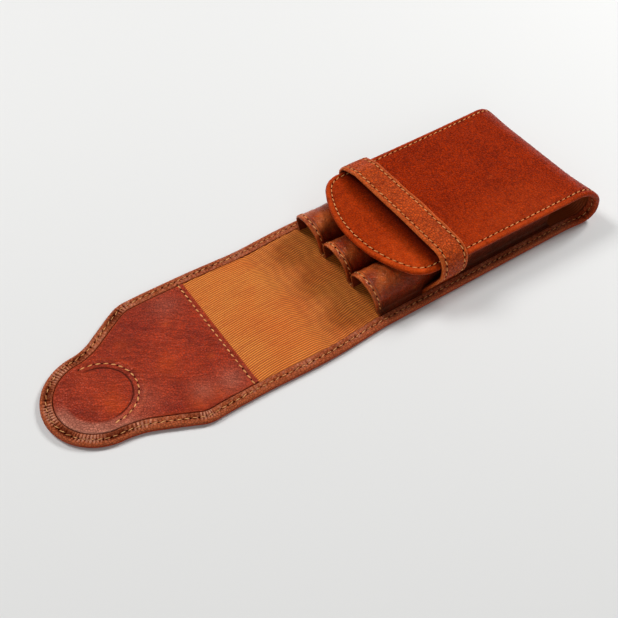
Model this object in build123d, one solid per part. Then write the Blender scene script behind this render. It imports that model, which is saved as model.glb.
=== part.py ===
from build123d import *
from math import radians, tan
import os

# Flap-over leather case with three sleeves, lying open, in millimetres.
# X runs along the case: the tongue ends at -X and the bend closes the +X end.
# Y runs across it and Z is up. The origin is at the middle of the underside.

# Layers of the leather strip, counted from its outer face inwards
skin = 1.2              # outer leather, and its edge where it is turned in
backing = 0.6           # boards and stays glued inside the outer leather
cloth = 0.4             # ribbed lining
facing = 0.8            # leather facing on the tongue
rim_width = 5.0         # turned-in edge along every side of the strip
edge_radius = 1.0       # rounding of that edge where the leather turns
fit_gap = 0.3           # space round each board inside the turned edge
groove = 0.15           # groove between the facing and the turned edge
fold_gap = 0.15         # each panel stops this far from the line it folds on

# Sleeves
sleeve_count = 3
bore_width = 15.4       # inside one sleeve, across
bore_height = 14.4      # inside one sleeve, above the lining
sleeve_leather = 0.9
sleeve_pitch = 20.6     # between the middles of neighbouring sleeves
sleeve_foot_radius = 1.2
mouth_setback = 25.5    # from the first fold to the mouths
sleeve_length = 98.5

# Back, bend and front cover
body_length = 146.0     # from the first fold to the nose of the bend
nose_radius = 7.8       # lower part of the bend
cover_gap = 1.0         # between the sleeves and the turned edge of the cover
cover_reach = 113.5     # from the nose back to the cover's free tip
cover_straight = 6.0    # from the bend to where the cover starts to narrow
cover_narrowing = 1.2   # each side of the cover draws in this much towards its tip
cover_tip_radius = 54.0
cover_corner_radius = 13.0

# Strap over the front cover
strap_leather = 1.1
strap_cloth = 0.6
strap_width = 13.5
strap_foot_width = 20.0
strap_from_nose = 85.5  # from the nose back to the middle of the strap
strap_side_gap = 0.3    # between the strap and the cover's side edge
strap_foot_gap = 0.1    # between the strap's foot and the outer sleeve
strap_foot_rise = 1.2   # upright part of the foot above the lining
strap_shoulder = 14.5   # height where the side of the strap turns upright
strap_foot_radius = 4.0
strap_side_radius = 6.0
strap_corner_radius = 4.5
strap_flare_radius = 8.0

# Flap: a spine that stands up over the mouths, then the tongue
closing_gap = 0.6       # between the closed tongue and the cover
tongue_slide_gap = 0.5  # between the closed tongue and the strap
tongue_reach = 91.0     # from the second fold to the tip
tongue_end_radius = 23.0
shoulder_from_tip = 50.4
shoulder_angle = 28.8   # degrees that each shoulder slopes inwards
shoulder_radius = 15.0
neck_radius = 28.0
facing_setback = 13.3   # from the second fold to the facing's straight edge
disc_radius = 12.8      # stiff disc behind the facing
disc_gap = 0.5

# Sewing
thread = 0.45           # width of a stitch
thread_rise = 0.15      # how far a stitch stands above the leather
stitch_length = 2.1
stitch_pitch = 3.0
rim_seam_inset = 2.6    # from the outer edge
lower_seam_angle = 50.0 # degrees that the seam shows below the nose of the bend
facing_seam_inset = 2.2
crescent_radius = 15.0
crescent_start = -90.0  # degrees, seen from above, from +X towards +Y
crescent_sweep = 180.0
hem_seam_inset = 1.9
strap_seam_inset = 2.0

# Heights
rim_top = 2 * skin
backing_top = skin + backing
lining_top = backing_top + cloth
facing_top = backing_top + facing
fold_height = max(rim_top, facing_top)
sleeve_top = lining_top + bore_height + sleeve_leather
cover_top = sleeve_top + cover_gap + rim_top
strap_underside = cover_top + closing_gap + fold_height + tongue_slide_gap
strap_thickness = strap_leather + strap_cloth

# Widths
sleeve_half = bore_width / 2 + sleeve_leather
sleeve_span = (sleeve_count - 1) / 2 * sleeve_pitch + sleeve_half
pocket_half = sleeve_span + strap_foot_gap + strap_thickness
half_width = pocket_half + rim_width
cover_half = half_width - cover_narrowing

# Stations along X
spine_length = cover_top + closing_gap - fold_height
total_length = tongue_reach + spine_length + body_length
x_tip = -total_length / 2
x_fold_2 = x_tip + tongue_reach
x_fold_1 = x_fold_2 + spine_length
x_nose = x_fold_1 + body_length
x_mouth = x_fold_1 + mouth_setback
x_strap = x_nose - strap_from_nose
x_cover_tip = x_nose - cover_reach
x_round_end = x_tip + tongue_end_radius
x_facing = x_fold_2 - facing_setback
x_shoulder = x_tip + shoulder_from_tip

# The bend: a tight arc from the back up to the nose, then a wide one over to the cover
upper_radius = cover_top - nose_radius
x_back_end = x_nose - nose_radius
x_cover_start = x_nose - upper_radius
x_taper = x_cover_start - cover_straight

# The strap clears the widest part of the cover that passes through it
narrowing_there = (x_taper - x_strap - strap_width / 2) / (x_taper - x_cover_tip)
strap_half = half_width - cover_narrowing * narrowing_there + strap_side_gap

# Construction
overrun = 30.0          # length by which an outline runs on past the line that trims it
margin = 1.0            # how far a trimming shape reaches past what it trims
nearly = 0.01           # largest distance at which two places count as one


def band(x_low, x_high, half):
    """Flat plan between two stations, this half wide."""
    return Pos((x_low + x_high) / 2, 0) * Rectangle(x_high - x_low, 2 * half)


def layer(plan, z_low, z_high):
    """Plan given a thickness between two heights."""
    return Pos(0, 0, z_low) * extrude(plan, z_high - z_low)


def tongue_plan():
    """Outline of the tongue, running on past the second fold."""
    x_open = x_fold_2 + overrun
    neck_half = half_width - tan(radians(shoulder_angle)) * (x_shoulder - x_round_end)
    corners = [
        (x_open, -half_width),
        (x_open, half_width),
        (x_shoulder, half_width),
        (x_round_end, neck_half),
        (x_round_end, -neck_half),
        (x_shoulder, -half_width),
    ]
    taper = make_face(Polyline(*corners, close=True))
    plan = taper + Pos(x_round_end, 0) * Circle(tongue_end_radius)
    necks = [v for v in plan.vertices() if v.X < x_shoulder - nearly]
    plan = fillet(necks, neck_radius)
    shoulders = [v for v in plan.vertices() if abs(v.X - x_shoulder) < nearly]
    return fillet(shoulders, shoulder_radius)


def cover_plan():
    """Outline of the front cover, running on past the line where the bend starts."""
    x_open = x_cover_start + overrun
    corners = [
        (x_open, -half_width),
        (x_open, half_width),
        (x_taper, half_width),
        (x_cover_tip, cover_half),
        (x_cover_tip, -cover_half),
        (x_taper, -half_width),
    ]
    tip_disc = Pos(x_cover_tip + cover_tip_radius, 0) * Circle(cover_tip_radius)
    ahead = band(x_cover_tip + cover_tip_radius, x_open, half_width)
    plan = make_face(Polyline(*corners, close=True)) & (tip_disc + ahead)
    tips = plan.vertices().group_by(Axis.X)[0]
    return fillet(tips, cover_corner_radius)


def bend_section(depth_out, depth_in):
    """Section of the bend between two depths below its outer face."""
    quarter = Pos(cover_top, cover_top) * Rectangle(2 * cover_top, 2 * cover_top)
    upper = (Circle(upper_radius - depth_out) - Circle(upper_radius - depth_in)) & quarter
    lower = (Circle(nose_radius - depth_out) - Circle(nose_radius - depth_in)) & (Rot(0, 0, -90) * quarter)
    return Pos(x_cover_start, nose_radius) * upper + Pos(x_back_end, nose_radius) * lower


def bend_layer(depth_out, depth_in, half):
    """Part of the bend between two depths, this half wide."""
    return extrude(Plane.XZ * bend_section(depth_out, depth_in), half, both=True)


def turned(blank):
    """Blank of a panel, rounded along its sides and tip but not where it is cut across."""
    along = [e for e in blank.edges() if e.bounding_box().size.X > nearly]
    return fillet(along, edge_radius)


def flat_skin(plan, pocket):
    """Outer leather of a flat panel, with its edge turned in round the pocket."""
    return turned(layer(plan, 0, rim_top)) - layer(pocket, skin, rim_top)


def joined(*pieces):
    """One clean solid from pieces that meet."""
    whole = pieces[0]
    for piece in pieces[1:]:
        whole += piece
    return whole.clean()


def body_leather():
    """Back panel, bend and front cover: one strip of leather with turned edges."""
    x_start = x_fold_1 + fold_gap
    plan = cover_plan()
    over_cover = band(x_cover_tip - margin, x_cover_start, half_width)
    pocket = offset(plan, -rim_width) & over_cover
    back = flat_skin(band(x_start, x_back_end, half_width), band(x_start, x_back_end, pocket_half))
    bend = turned(bend_layer(0, rim_top, half_width)) - bend_layer(skin, rim_top, pocket_half)
    cover = turned(layer(plan & over_cover, cover_top - rim_top, cover_top))
    cover -= layer(pocket, cover_top - rim_top, cover_top - skin)
    return joined(back, bend, cover)


def body_lining():
    """Ribbed lining from the first fold, round the bend and under the cover."""
    back = layer(band(x_fold_1 + fold_gap, x_back_end, pocket_half), backing_top, lining_top)
    bend = bend_layer(backing_top, lining_top, pocket_half)
    pocket = offset(cover_plan(), -rim_width) & band(x_cover_tip, x_cover_start, half_width)
    cover = layer(pocket, cover_top - lining_top, cover_top - backing_top)
    return joined(back, bend, cover)


def back_board():
    """Stiff board inside the back panel."""
    plan = band(x_fold_1 + fold_gap + fit_gap, x_back_end, pocket_half - fit_gap)
    return layer(plan, skin, backing_top)


def cover_board():
    """Stiff board inside the front cover."""
    pocket = offset(cover_plan(), -(rim_width + fit_gap))
    plan = pocket & band(x_cover_tip, x_cover_start, half_width)
    return layer(plan, cover_top - backing_top, cover_top - skin)


def bend_stay():
    """Soft stay that keeps the bend round."""
    return bend_layer(skin, backing_top, pocket_half - fit_gap)


def sleeve_middles():
    """Y of the middle of each sleeve, from the near one to the far one."""
    first = -(sleeve_count - 1) / 2 * sleeve_pitch
    return [first + i * sleeve_pitch for i in range(sleeve_count)]


def arch(y, half, top):
    """Section of an upright arch on the lining: straight legs and a round top."""
    spring = top - half
    legs = Pos(y, (lining_top + spring) / 2) * Rectangle(2 * half, spring - lining_top)
    crown = Circle(half) & Pos(0, half / 2) * Rectangle(2 * half, half)
    return legs + Pos(y, spring) * crown


def sleeve_panel():
    """One leather panel moulded into the sleeves and sewn down between them."""
    flat = Pos(0, lining_top + sleeve_leather / 2) * Rectangle(2 * pocket_half, sleeve_leather)
    outside = flat
    for y in sleeve_middles():
        outside += arch(y, sleeve_half, sleeve_top)
    feet = [
        v
        for v in outside.vertices()
        if abs(v.Y - lining_top - sleeve_leather) < nearly and abs(v.X) < pocket_half - nearly
    ]
    outside = fillet(feet, sleeve_foot_radius)
    for y in sleeve_middles():
        outside -= arch(y, bore_width / 2, sleeve_top - sleeve_leather)
    panel = extrude(Plane.YZ.offset(x_mouth) * outside, sleeve_length)
    notch_half = strap_foot_width / 2 + fit_gap
    notch = band(x_strap - notch_half, x_strap + notch_half, half_width)
    notch -= band(x_mouth, x_nose, sleeve_span)
    return panel - layer(notch, lining_top, sleeve_top)


def strap_inside(grow):
    """Space inside the strap, grown outwards by part of its thickness."""
    foot = sleeve_span + strap_foot_gap
    corners = [
        (foot, lining_top - overrun),
        (foot, lining_top + strap_foot_rise),
        (strap_half, strap_shoulder),
        (strap_half, strap_underside),
    ]
    mirrored = [(-y, z) for y, z in reversed(corners)]
    space = make_face(Polyline(*corners, *mirrored, close=True))
    turns = [
        (lining_top + strap_foot_rise, strap_foot_radius),
        (strap_shoulder, strap_side_radius),
        (strap_underside, strap_corner_radius),
    ]
    for height, radius in turns:
        space = fillet([v for v in space.vertices() if abs(v.Y - height) < nearly], radius)
    return offset(space, grow) if grow else space


def strap_side():
    """Side view of the strap: straight over the cover and wider at its feet."""
    half = strap_width / 2
    foot = strap_foot_width / 2
    top = strap_underside + strap_thickness + margin
    knee = (strap_shoulder + lining_top) / 2
    right = [(foot, lining_top), (half, knee), (half, top)]
    left = [(-x, z) for x, z in reversed(right)]
    side = make_face(Polyline(*right, *left, close=True))
    knees = [v for v in side.vertices() if abs(v.Y - knee) < nearly]
    return Pos(x_strap, 0) * fillet(knees, strap_flare_radius)


def strap_layer(inner, outer):
    """Part of the strap between two depths, counted from its inner face."""
    ring = strap_inside(outer) - strap_inside(inner)
    width = strap_foot_width + 2 * margin
    loop = extrude(Plane.YZ.offset(x_strap - width / 2) * ring, width)
    return loop & extrude(Plane.XZ * strap_side(), 2 * half_width, both=True)


def spine_plan(half):
    """Plan of the flap's spine, between the two folds."""
    return band(x_fold_2 + fold_gap, x_fold_1 - fold_gap, half)


def before_fold():
    """Area that holds the tongue alone, up to the second fold."""
    return band(x_tip - margin, x_fold_2 - fold_gap, half_width + margin)


def tongue_pocket(inset):
    """Area inside the tongue's turned edge, drawn in by a gap."""
    return offset(tongue_plan(), -(rim_width + inset)) & before_fold()


def tongue_leather():
    """Outer leather of the tongue."""
    return flat_skin(tongue_plan() & before_fold(), tongue_pocket(0))


def tongue_board():
    """Stiff board inside the tongue, cut round the disc."""
    plan = tongue_pocket(fit_gap) - Pos(x_round_end, 0) * Circle(disc_radius + disc_gap)
    return layer(plan, skin, backing_top)


def tongue_disc():
    """Stiff disc in the tongue's round end."""
    return layer(Pos(x_round_end, 0) * Circle(disc_radius), skin, backing_top)


def tongue_lining():
    """Ribbed lining from the second fold to the facing."""
    return layer(band(x_facing, x_fold_2 - fold_gap, pocket_half), backing_top, lining_top)


def tongue_facing():
    """Leather facing of the tongue, with a straight folded edge."""
    plan = tongue_pocket(groove) & band(x_tip, x_facing, half_width)
    return layer(plan, backing_top, facing_top)


def stitch(seat):
    """One stitch on a surface, its length along the seat's X."""
    return seat * Box(stitch_length, thread, thread_rise, align=(Align.CENTER, Align.CENTER, Align.MIN))


def seats(path, normal):
    """Evenly spaced seats along a path. The normal is a function of the path's direction."""
    count = max(1, round(path.length / stitch_pitch))
    places = []
    for i in range(count):
        u = (i + 0.5) / count
        direction = path % u
        places.append(Plane(path @ u, x_dir=direction, z_dir=normal(direction)))
    return places


def upwards(direction):
    """Normal of a flat, level surface."""
    return Vector(0, 0, 1)


def row(path, normal=upwards):
    """Stitches along a whole path."""
    return [stitch(seat) for seat in seats(path, normal)]


def outline_row(plan, z, x_low, x_high):
    """Stitches inside the edge of a plan, kept between two stations."""
    path = Pos(0, 0, z) * offset(plan, -rim_seam_inset).wire()
    keep = [s for s in seats(path, upwards) if x_low < s.origin.X < x_high]
    return [stitch(seat) for seat in keep]


def both_sides(x_low, x_high, z):
    """Straight rows inside both side edges."""
    y = half_width - rim_seam_inset
    rows = []
    for side in (-y, y):
        rows += row(Line((x_low, side, z), (x_high, side, z)))
    return rows


def body_rim_thread():
    """Seam round the back, the bend and the front cover."""
    y = half_width - rim_seam_inset
    half_stitch = stitch_length / 2
    rows = both_sides(x_fold_1 + fold_gap, x_back_end, rim_top)
    rows += outline_row(cover_plan(), cover_top, x_cover_tip, x_cover_start - half_stitch)
    upper_arc = CenterArc((x_cover_start, nose_radius), upper_radius, 0, 90)
    lower_arc = CenterArc((x_back_end, nose_radius), nose_radius, -lower_seam_angle, lower_seam_angle)
    for side in (-y, y):
        for arc in (upper_arc, lower_arc):
            path = Plane.XZ.offset(side) * arc
            rows += row(path, lambda direction: direction.cross(Vector(0, -1, 0)))
    return rows


def tongue_rim_thread():
    """Seam round the tongue."""
    half_stitch = stitch_length / 2
    return outline_row(tongue_plan(), rim_top, x_tip, x_fold_2 - fold_gap - half_stitch)


def facing_thread():
    """Seam along the facing's straight edge."""
    x = x_facing - facing_seam_inset
    y = pocket_half - groove
    return row(Line((x, -y, facing_top), (x, y, facing_top)))


def crescent_thread():
    """Curved seam that holds the disc in its place."""
    arc = CenterArc((x_round_end, 0, facing_top), crescent_radius, crescent_start, crescent_sweep)
    return row(arc)


def hem_thread():
    """Seam round the mouth of each sleeve."""
    rows = []
    x = x_mouth + hem_seam_inset
    z_spring = sleeve_top - sleeve_half
    z_foot = lining_top + sleeve_leather + sleeve_foot_radius
    for y in sleeve_middles():
        near = Line((x, y - sleeve_half, z_foot), (x, y - sleeve_half, z_spring))
        top = ThreePointArc(near @ 1, (x, y, sleeve_top), (x, y + sleeve_half, z_spring))
        far = Line(top @ 1, (x, y + sleeve_half, z_foot))
        path = Wire([near, top, far])
        rows += row(path, lambda direction: Vector(1, 0, 0).cross(direction))
    return rows


def gutter_thread():
    """Seams that hold the panel down between the sleeves."""
    middles = sleeve_middles()
    z = lining_top + sleeve_leather
    rows = []
    for low, high in zip(middles, middles[1:]):
        y = (low + high) / 2
        rows += row(Line((x_mouth, y, z), (x_mouth + sleeve_length, y, z)))
    return rows


def strap_thread():
    """Two seams along the strap, foot to foot."""
    outline = strap_inside(strap_thickness).wire()
    offset_x = strap_width / 2 - strap_seam_inset
    rows = []
    for x in (x_strap - offset_x, x_strap + offset_x):
        path = Plane.YZ.offset(x) * outline
        for seat in seats(path, lambda direction: direction.cross(Vector(1, 0, 0))):
            if seat.origin.Z > lining_top + strap_foot_rise + stitch_length:
                rows.append(stitch(seat))
    return rows


nodes = {
    "outer_leather_body": body_leather(),
    "lining_body": body_lining(),
    "back_board": back_board(),
    "cover_board": cover_board(),
    "bend_stay": bend_stay(),
    "sleeve_panel": sleeve_panel(),
    "strap_leather": strap_layer(strap_cloth, strap_thickness),
    "strap_lining": strap_layer(0, strap_cloth),
    "rim_thread_body": Compound(body_rim_thread()),
    "hem_thread": Compound(hem_thread()),
    "gutter_thread": Compound(gutter_thread()),
    "strap_thread": Compound(strap_thread()),
    "outer_leather_spine": flat_skin(spine_plan(half_width), spine_plan(pocket_half)),
    "lining_spine": layer(spine_plan(pocket_half), backing_top, lining_top),
    "spine_stay": layer(spine_plan(pocket_half - fit_gap), skin, backing_top),
    "rim_thread_spine": Compound(both_sides(x_fold_2 + fold_gap, x_fold_1 - fold_gap, rim_top)),
    "outer_leather_tongue": tongue_leather(),
    "lining_tongue": tongue_lining(),
    "tongue_facing": tongue_facing(),
    "tongue_board": tongue_board(),
    "tongue_disc": tongue_disc(),
    "rim_thread_tongue": Compound(tongue_rim_thread()),
    "facing_thread": Compound(facing_thread()),
    "crescent_thread": Compound(crescent_thread()),
}

os.makedirs("parts", exist_ok=True)
for name, shape in nodes.items():
    export_step(shape, f"parts/{name}.step")

print(f"length {total_length:.2f}, width {2 * (strap_half + strap_thickness):.2f}")
print(f"cover top {cover_top:.2f}, spine {spine_length:.2f}, strap underside {strap_underside:.2f}")
print(f"first fold at x {x_fold_1:.2f}, second fold at x {x_fold_2:.2f}, fold height {fold_height:.2f}")
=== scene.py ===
import logging
import math
from collections.abc import Sequence
from dataclasses import dataclass, field
from enum import Enum

import bmesh
import bpy
import numpy as np
from mathutils import Matrix, Vector
from mathutils.geometry import delaunay_2d_cdt


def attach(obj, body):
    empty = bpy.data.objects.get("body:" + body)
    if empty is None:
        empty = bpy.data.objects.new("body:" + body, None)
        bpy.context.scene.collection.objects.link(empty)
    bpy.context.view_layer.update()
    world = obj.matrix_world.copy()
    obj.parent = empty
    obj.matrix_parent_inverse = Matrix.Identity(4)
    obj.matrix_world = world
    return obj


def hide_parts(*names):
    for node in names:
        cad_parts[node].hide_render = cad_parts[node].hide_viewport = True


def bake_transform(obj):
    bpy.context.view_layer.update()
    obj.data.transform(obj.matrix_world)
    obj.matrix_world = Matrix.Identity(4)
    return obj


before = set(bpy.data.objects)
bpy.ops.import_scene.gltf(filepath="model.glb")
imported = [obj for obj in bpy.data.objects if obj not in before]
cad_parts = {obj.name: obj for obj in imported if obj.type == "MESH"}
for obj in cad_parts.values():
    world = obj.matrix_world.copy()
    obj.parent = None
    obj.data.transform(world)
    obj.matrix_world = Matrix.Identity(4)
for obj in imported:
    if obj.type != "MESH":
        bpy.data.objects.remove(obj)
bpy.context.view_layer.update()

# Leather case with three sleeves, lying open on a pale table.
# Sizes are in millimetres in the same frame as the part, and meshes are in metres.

MM = 0.001
WELD = 2e-6
UP = (0.0, 0.0, 1.0)
log = logging.getLogger("case")

# Kinds of value. Feeds are sockets of a node with what goes in, Lines are the lines of a seam with
# the outward direction at each point, and Spots are rows of x, y, reach and strength.
Array = np.ndarray
Colour = tuple[float, float, float]
Point = Sequence[float]
Socket = bpy.types.NodeSocket
Feeds = dict[str | int, object]
Lines = list[tuple[Array, Array]]
Spots = tuple[tuple[float, float, float, float], ...]


def added(name: str, data: bpy.types.ID) -> bpy.types.Object:
    """New object of the scene that shows the data."""
    thing = bpy.data.objects.new(name, data)
    bpy.context.scene.collection.objects.link(thing)
    return thing


class Body(Enum):
    """Bodies of the frame that pieces ride on."""

    CASE = "case_body"
    SPINE = "flap_spine"
    TONGUE = "flap_tongue"


class Slot(Enum):
    """Names of the finishes in the record."""

    COVER = "cover_leather"
    FACING = "facing_leather"
    SLEEVE = "sleeve_leather"
    STRAP = "strap_leather"
    STRAP_LINING = "lining_leather"
    CLOTH = "lining_cloth"
    BOARD = "board"
    FELT = "stay_felt"
    DISC = "disc"
    THREAD = "thread"


class Fold(Enum):
    """The two lines that the flap folds on."""

    FIRST = (Body.CASE, Body.SPINE)
    SECOND = (Body.SPINE, Body.TONGUE)


# Sizes of the case


@dataclass(frozen=True)
class Layout:
    """Stations, heights and layers that the pieces share, as the part has them."""

    skin: float = 1.2
    rim_width: float = 5.0
    seam_inset: float = 2.6
    stitch_pitch: float = 3.0
    lining_top: float = 2.2
    facing_top: float = 2.6
    half_width: float = 36.0
    nose_radius: float = 7.8
    end_radius: float = 23.0
    cover_top: float = 20.9
    cover_reach: float = 113.5
    x_tip: float = -127.95
    x_fold_2: float = -36.95
    x_fold_1: float = -18.05
    x_strap: float = 42.45
    x_nose: float = 127.95
    fold_reach: float = 3.2
    flare: float = 2.0

    @property
    def upper_radius(self) -> float:
        """Radius of the upper part of the bend."""
        return self.cover_top - self.nose_radius

    @property
    def x_back_end(self) -> float:
        """Station where the back panel turns up into the bend."""
        return self.x_nose - self.nose_radius

    @property
    def x_cover_start(self) -> float:
        """Station where the bend becomes the cover."""
        return self.x_nose - self.upper_radius

    @property
    def bend_mid(self) -> float:
        """Place along the strip where the two arcs of the bend meet."""
        return self.x_back_end + self.nose_radius * math.pi / 2

    @property
    def cover_from(self) -> float:
        """Place along the strip where the cover starts."""
        return self.bend_mid + self.upper_radius * math.pi / 2

    @property
    def tip_along(self) -> float:
        """Place of the cover's free tip along the strip."""
        return self.along_cover(self.x_nose - self.cover_reach)

    @property
    def split(self) -> float:
        """Place where the strip's pieces meet, halfway along the spine."""
        return (self.x_fold_1 + self.x_fold_2) / 2

    def along_cover(self, x: float) -> float:
        """Place along the strip of a station on the cover."""
        return self.cover_from + self.x_cover_start - x

    def drift(self, t: Array) -> Array:
        """How far the soft flap wanders to one side, as it does in use."""
        start, end = 1 - smooth(-30, 12, t), 1 - smooth(-108, -62, t)
        return -0.9 * start - 2.1 * end - 0.8 * hump(-20, 30, t)

    def roll(self, flat: Array, depth: Array | float) -> Array:
        """Carries points of the flat strip to where the strip lies.

        Args:
            flat: Pairs of place along the strip and place across it.
            depth: Their depth below the outer face.

        Returns:
            Rows of x, y and z.
        """
        t, y = flat.reshape(-1, 2).T
        h = np.broadcast_to(np.ravel(depth), t.shape)
        lower = np.clip((t - self.x_back_end) / self.nose_radius, 0, math.pi / 2)
        upper = np.clip((t - self.bend_mid) / self.upper_radius, 0, math.pi / 2)
        r_low = self.nose_radius - h
        r_up = self.upper_radius - h
        x = np.where(t < self.x_back_end, t, self.x_back_end + r_low * np.sin(lower))
        z = np.where(t < self.x_back_end, h, self.nose_radius - r_low * np.cos(lower))
        beyond = t >= self.bend_mid
        x = np.where(beyond, self.x_cover_start + r_up * np.cos(upper), x)
        z = np.where(beyond, self.nose_radius + r_up * np.sin(upper), z)
        on_cover = t >= self.cover_from
        x = np.where(on_cover, self.x_cover_start - (t - self.cover_from), x)
        lean = self.drift(t + 0.5) - self.drift(t - 0.5)
        round_bend = smooth(110, 130, t) * (1 - smooth(136, 158, t))
        side = smooth(16, 36, -y) ** 1.5 + 0.5 * smooth(16, 36, y) ** 1.5
        spread = self.flare * round_bend * side
        sideways = y + self.drift(t) + 0.65 * np.sign(y) * spread
        return np.column_stack([x - lean * y + spread, sideways, z])


LAYOUT = Layout()


# Steps, swells and plane curves


def smooth(low: float, high: float, value: Array) -> Array:
    """Smooth step from 0 at low to 1 at high."""
    u = np.clip((np.asarray(value, float) - low) / (high - low), 0, 1)
    return u * u * (3 - 2 * u)


def hump(middle: float, reach: float, value: Array) -> Array:
    """Smooth hump of height 1 that falls to 0 at reach from its middle."""
    return 1 - smooth(0, reach, np.abs(np.asarray(value, float) - middle))


def ripple(x: Array, y: Array, pitch: float, seed: float) -> Array:
    """Gentle uneven swell between -1 and 1, the same every time.

    Args:
        x: One coordinate of the points.
        y: Their other coordinate.
        pitch: Typical distance between its crests.
        seed: Any number, which shifts the pattern.

    Returns:
        The swell at each point.
    """
    k = 2 * math.pi / pitch
    return (
        np.sin(k * (0.83 * x + 0.37 * y) + 1.7 * seed)
        + np.sin(k * (0.41 * x - 0.93 * y) * 1.31 + 2.9 * seed)
        + np.sin(k * (-0.67 * x + 0.71 * y) * 1.73 + 0.8 * seed)
    ) / 3


def spots(x: Array, y: Array, places: Spots) -> Array:
    """Sum of soft round spots, each given by its x, its y, its reach and its strength."""
    return sum(k * np.exp(-((x - x0) ** 2 + (y - y0) ** 2) / reach ** 2) for x0, y0, reach, k in places)


def circle(angles: Array) -> Array:
    """Points of the circle of radius 1 at the angles."""
    return np.column_stack([np.cos(angles), np.sin(angles)])


def line(start: Point, end: Point, step: float) -> Array:
    """Points along a straight run, ends included."""
    a, b = np.array(start, float), np.array(end, float)
    count = max(1, math.ceil(float(np.linalg.norm(b - a)) / step))
    return a + (b - a) * np.linspace(0, 1, count + 1)[:, None]


def arc(centre: Point, start: Point, end: Point, turn: int, step: float) -> Array:
    """Points along an arc, ends included.

    Args:
        centre: Middle of the arc.
        start: First point, which gives the radius.
        end: Last point.
        turn: 1 to go round anticlockwise, -1 clockwise.
        step: Largest distance between points.

    Returns:
        Rows of the two coordinates.
    """
    c, p, q = (np.array(v, float) for v in (centre, start, end))
    radius = float(np.linalg.norm(p - c))
    a0, a1 = (math.atan2(*(v - c)[::-1]) for v in (p, q))
    sweep = (turn * (a1 - a0)) % (2 * math.pi)
    count = max(2, math.ceil(radius * sweep / step))
    return c + radius * circle(a0 + turn * sweep * np.linspace(0, 1, count + 1))


def beside(start: Array, heading: Array, offset: float, centre: Array, reach: float, last: bool) -> Array:
    """Centre of an arc that touches a line and a circle.

    Args:
        start: A point of the line.
        heading: The line's direction, of length 1.
        offset: How far the centre lies to the left of the line.
        centre: Middle of the circle.
        reach: Distance between the two centres.
        last: Whether to take the later of the two answers along the line.

    Returns:
        The centre.
    """
    left = np.array([-heading[1], heading[0]])
    base = start + left * offset - centre
    b = float(base @ heading)
    root = math.sqrt(b * b - float(base @ base) + reach * reach)
    return centre + base + heading * (-b + (root if last else -root))


@dataclass
class Outline:
    """Edge of a flat shape, followed with the shape on its left."""

    points: Array
    closed: bool = False
    inward: Array = field(init=False)
    run: Array = field(init=False)

    def __post_init__(self) -> None:
        """Drops doubled points, then works out the inward directions and the distance run."""
        p = self.points
        keep = np.concatenate([[True], np.linalg.norm(np.diff(p, axis=0), axis=1) > 1e-4])
        p = p[keep]
        if self.closed and np.linalg.norm(p[0] - p[-1]) < 1e-4:
            p = p[:-1]
        self.points = p
        if self.closed:
            ahead, behind = np.roll(p, -1, axis=0), np.roll(p, 1, axis=0)
        else:
            ahead, behind = np.vstack([p[1:], p[-1:]]), np.vstack([p[:1], p[:-1]])
        tangent = ahead - behind
        tangent /= np.linalg.norm(tangent, axis=1)[:, None]
        self.inward = np.column_stack([-tangent[:, 1], tangent[:, 0]])
        steps = np.linalg.norm(np.diff(p, axis=0), axis=1)
        self.run = np.concatenate([[0], np.cumsum(steps)])

    def inset(self, distance: float) -> Array:
        """The outline drawn in by a distance."""
        return self.points + self.inward * distance


def tongue_edge(step: float) -> Array:
    """Edge of the strip from the split on the far side, round the tongue and back on the near side."""
    lay = LAYOUT
    neck_radius, shoulder_radius, shoulder_reach = 28.0, 15.0, 50.4
    slope = math.radians(28.8)
    x_shoulder = lay.x_tip + shoulder_reach
    end = np.array([lay.x_tip + lay.end_radius, 0.0])
    heading = np.array([-math.cos(slope), -math.sin(slope)])
    corner = np.array([x_shoulder, lay.half_width])
    x_turn = x_shoulder + shoulder_radius * math.tan(slope / 2)
    shoulder = np.array([x_turn, lay.half_width - shoulder_radius])
    neck = beside(corner, heading, -neck_radius, end, lay.end_radius + neck_radius, False)
    on_side = (x_turn, lay.half_width)
    on_slope = shoulder + shoulder_radius * np.array([-math.sin(slope), math.cos(slope)])
    leaves_slope = corner + heading * float((neck - corner) @ heading)
    on_end = end + (neck - end) * lay.end_radius / np.linalg.norm(neck - end)
    upper = np.vstack([
        line((lay.split, lay.half_width), on_side, step),
        arc(shoulder, on_side, on_slope, 1, step),
        line(on_slope, leaves_slope, step),
        arc(neck, leaves_slope, on_end, -1, step),
        arc(end, on_end, (lay.x_tip, 0), 1, step),
    ])
    return np.vstack([upper, upper[::-1] * [1, -1]])


def body_edge(step: float) -> Array:
    """Edge of the strip from the split on the near side, round the cover's tip and back on the far side."""
    lay = LAYOUT
    tip_radius, corner_radius, straight, narrowing = 54.0, 13.0, 6.0, 1.2
    tip = lay.tip_along
    taper = np.array([lay.cover_from + straight, -lay.half_width])
    heading = np.array([tip, narrowing - lay.half_width]) - taper
    heading /= np.linalg.norm(heading)
    disc = np.array([tip - tip_radius, 0.0])
    corner = beside(taper, heading, corner_radius, disc, tip_radius - corner_radius, True)
    on_side = taper + heading * float((corner - taper) @ heading)
    on_tip = disc + (corner - disc) * tip_radius / np.linalg.norm(corner - disc)
    lower = np.vstack([
        line((lay.split, -lay.half_width), taper, step),
        line(taper, on_side, step),
        arc(corner, on_side, on_tip, 1, step),
        arc(disc, on_tip, (tip, 0), 1, step),
    ])
    return np.vstack([lower, lower[::-1] * [1, -1]])


# Meshes


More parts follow.
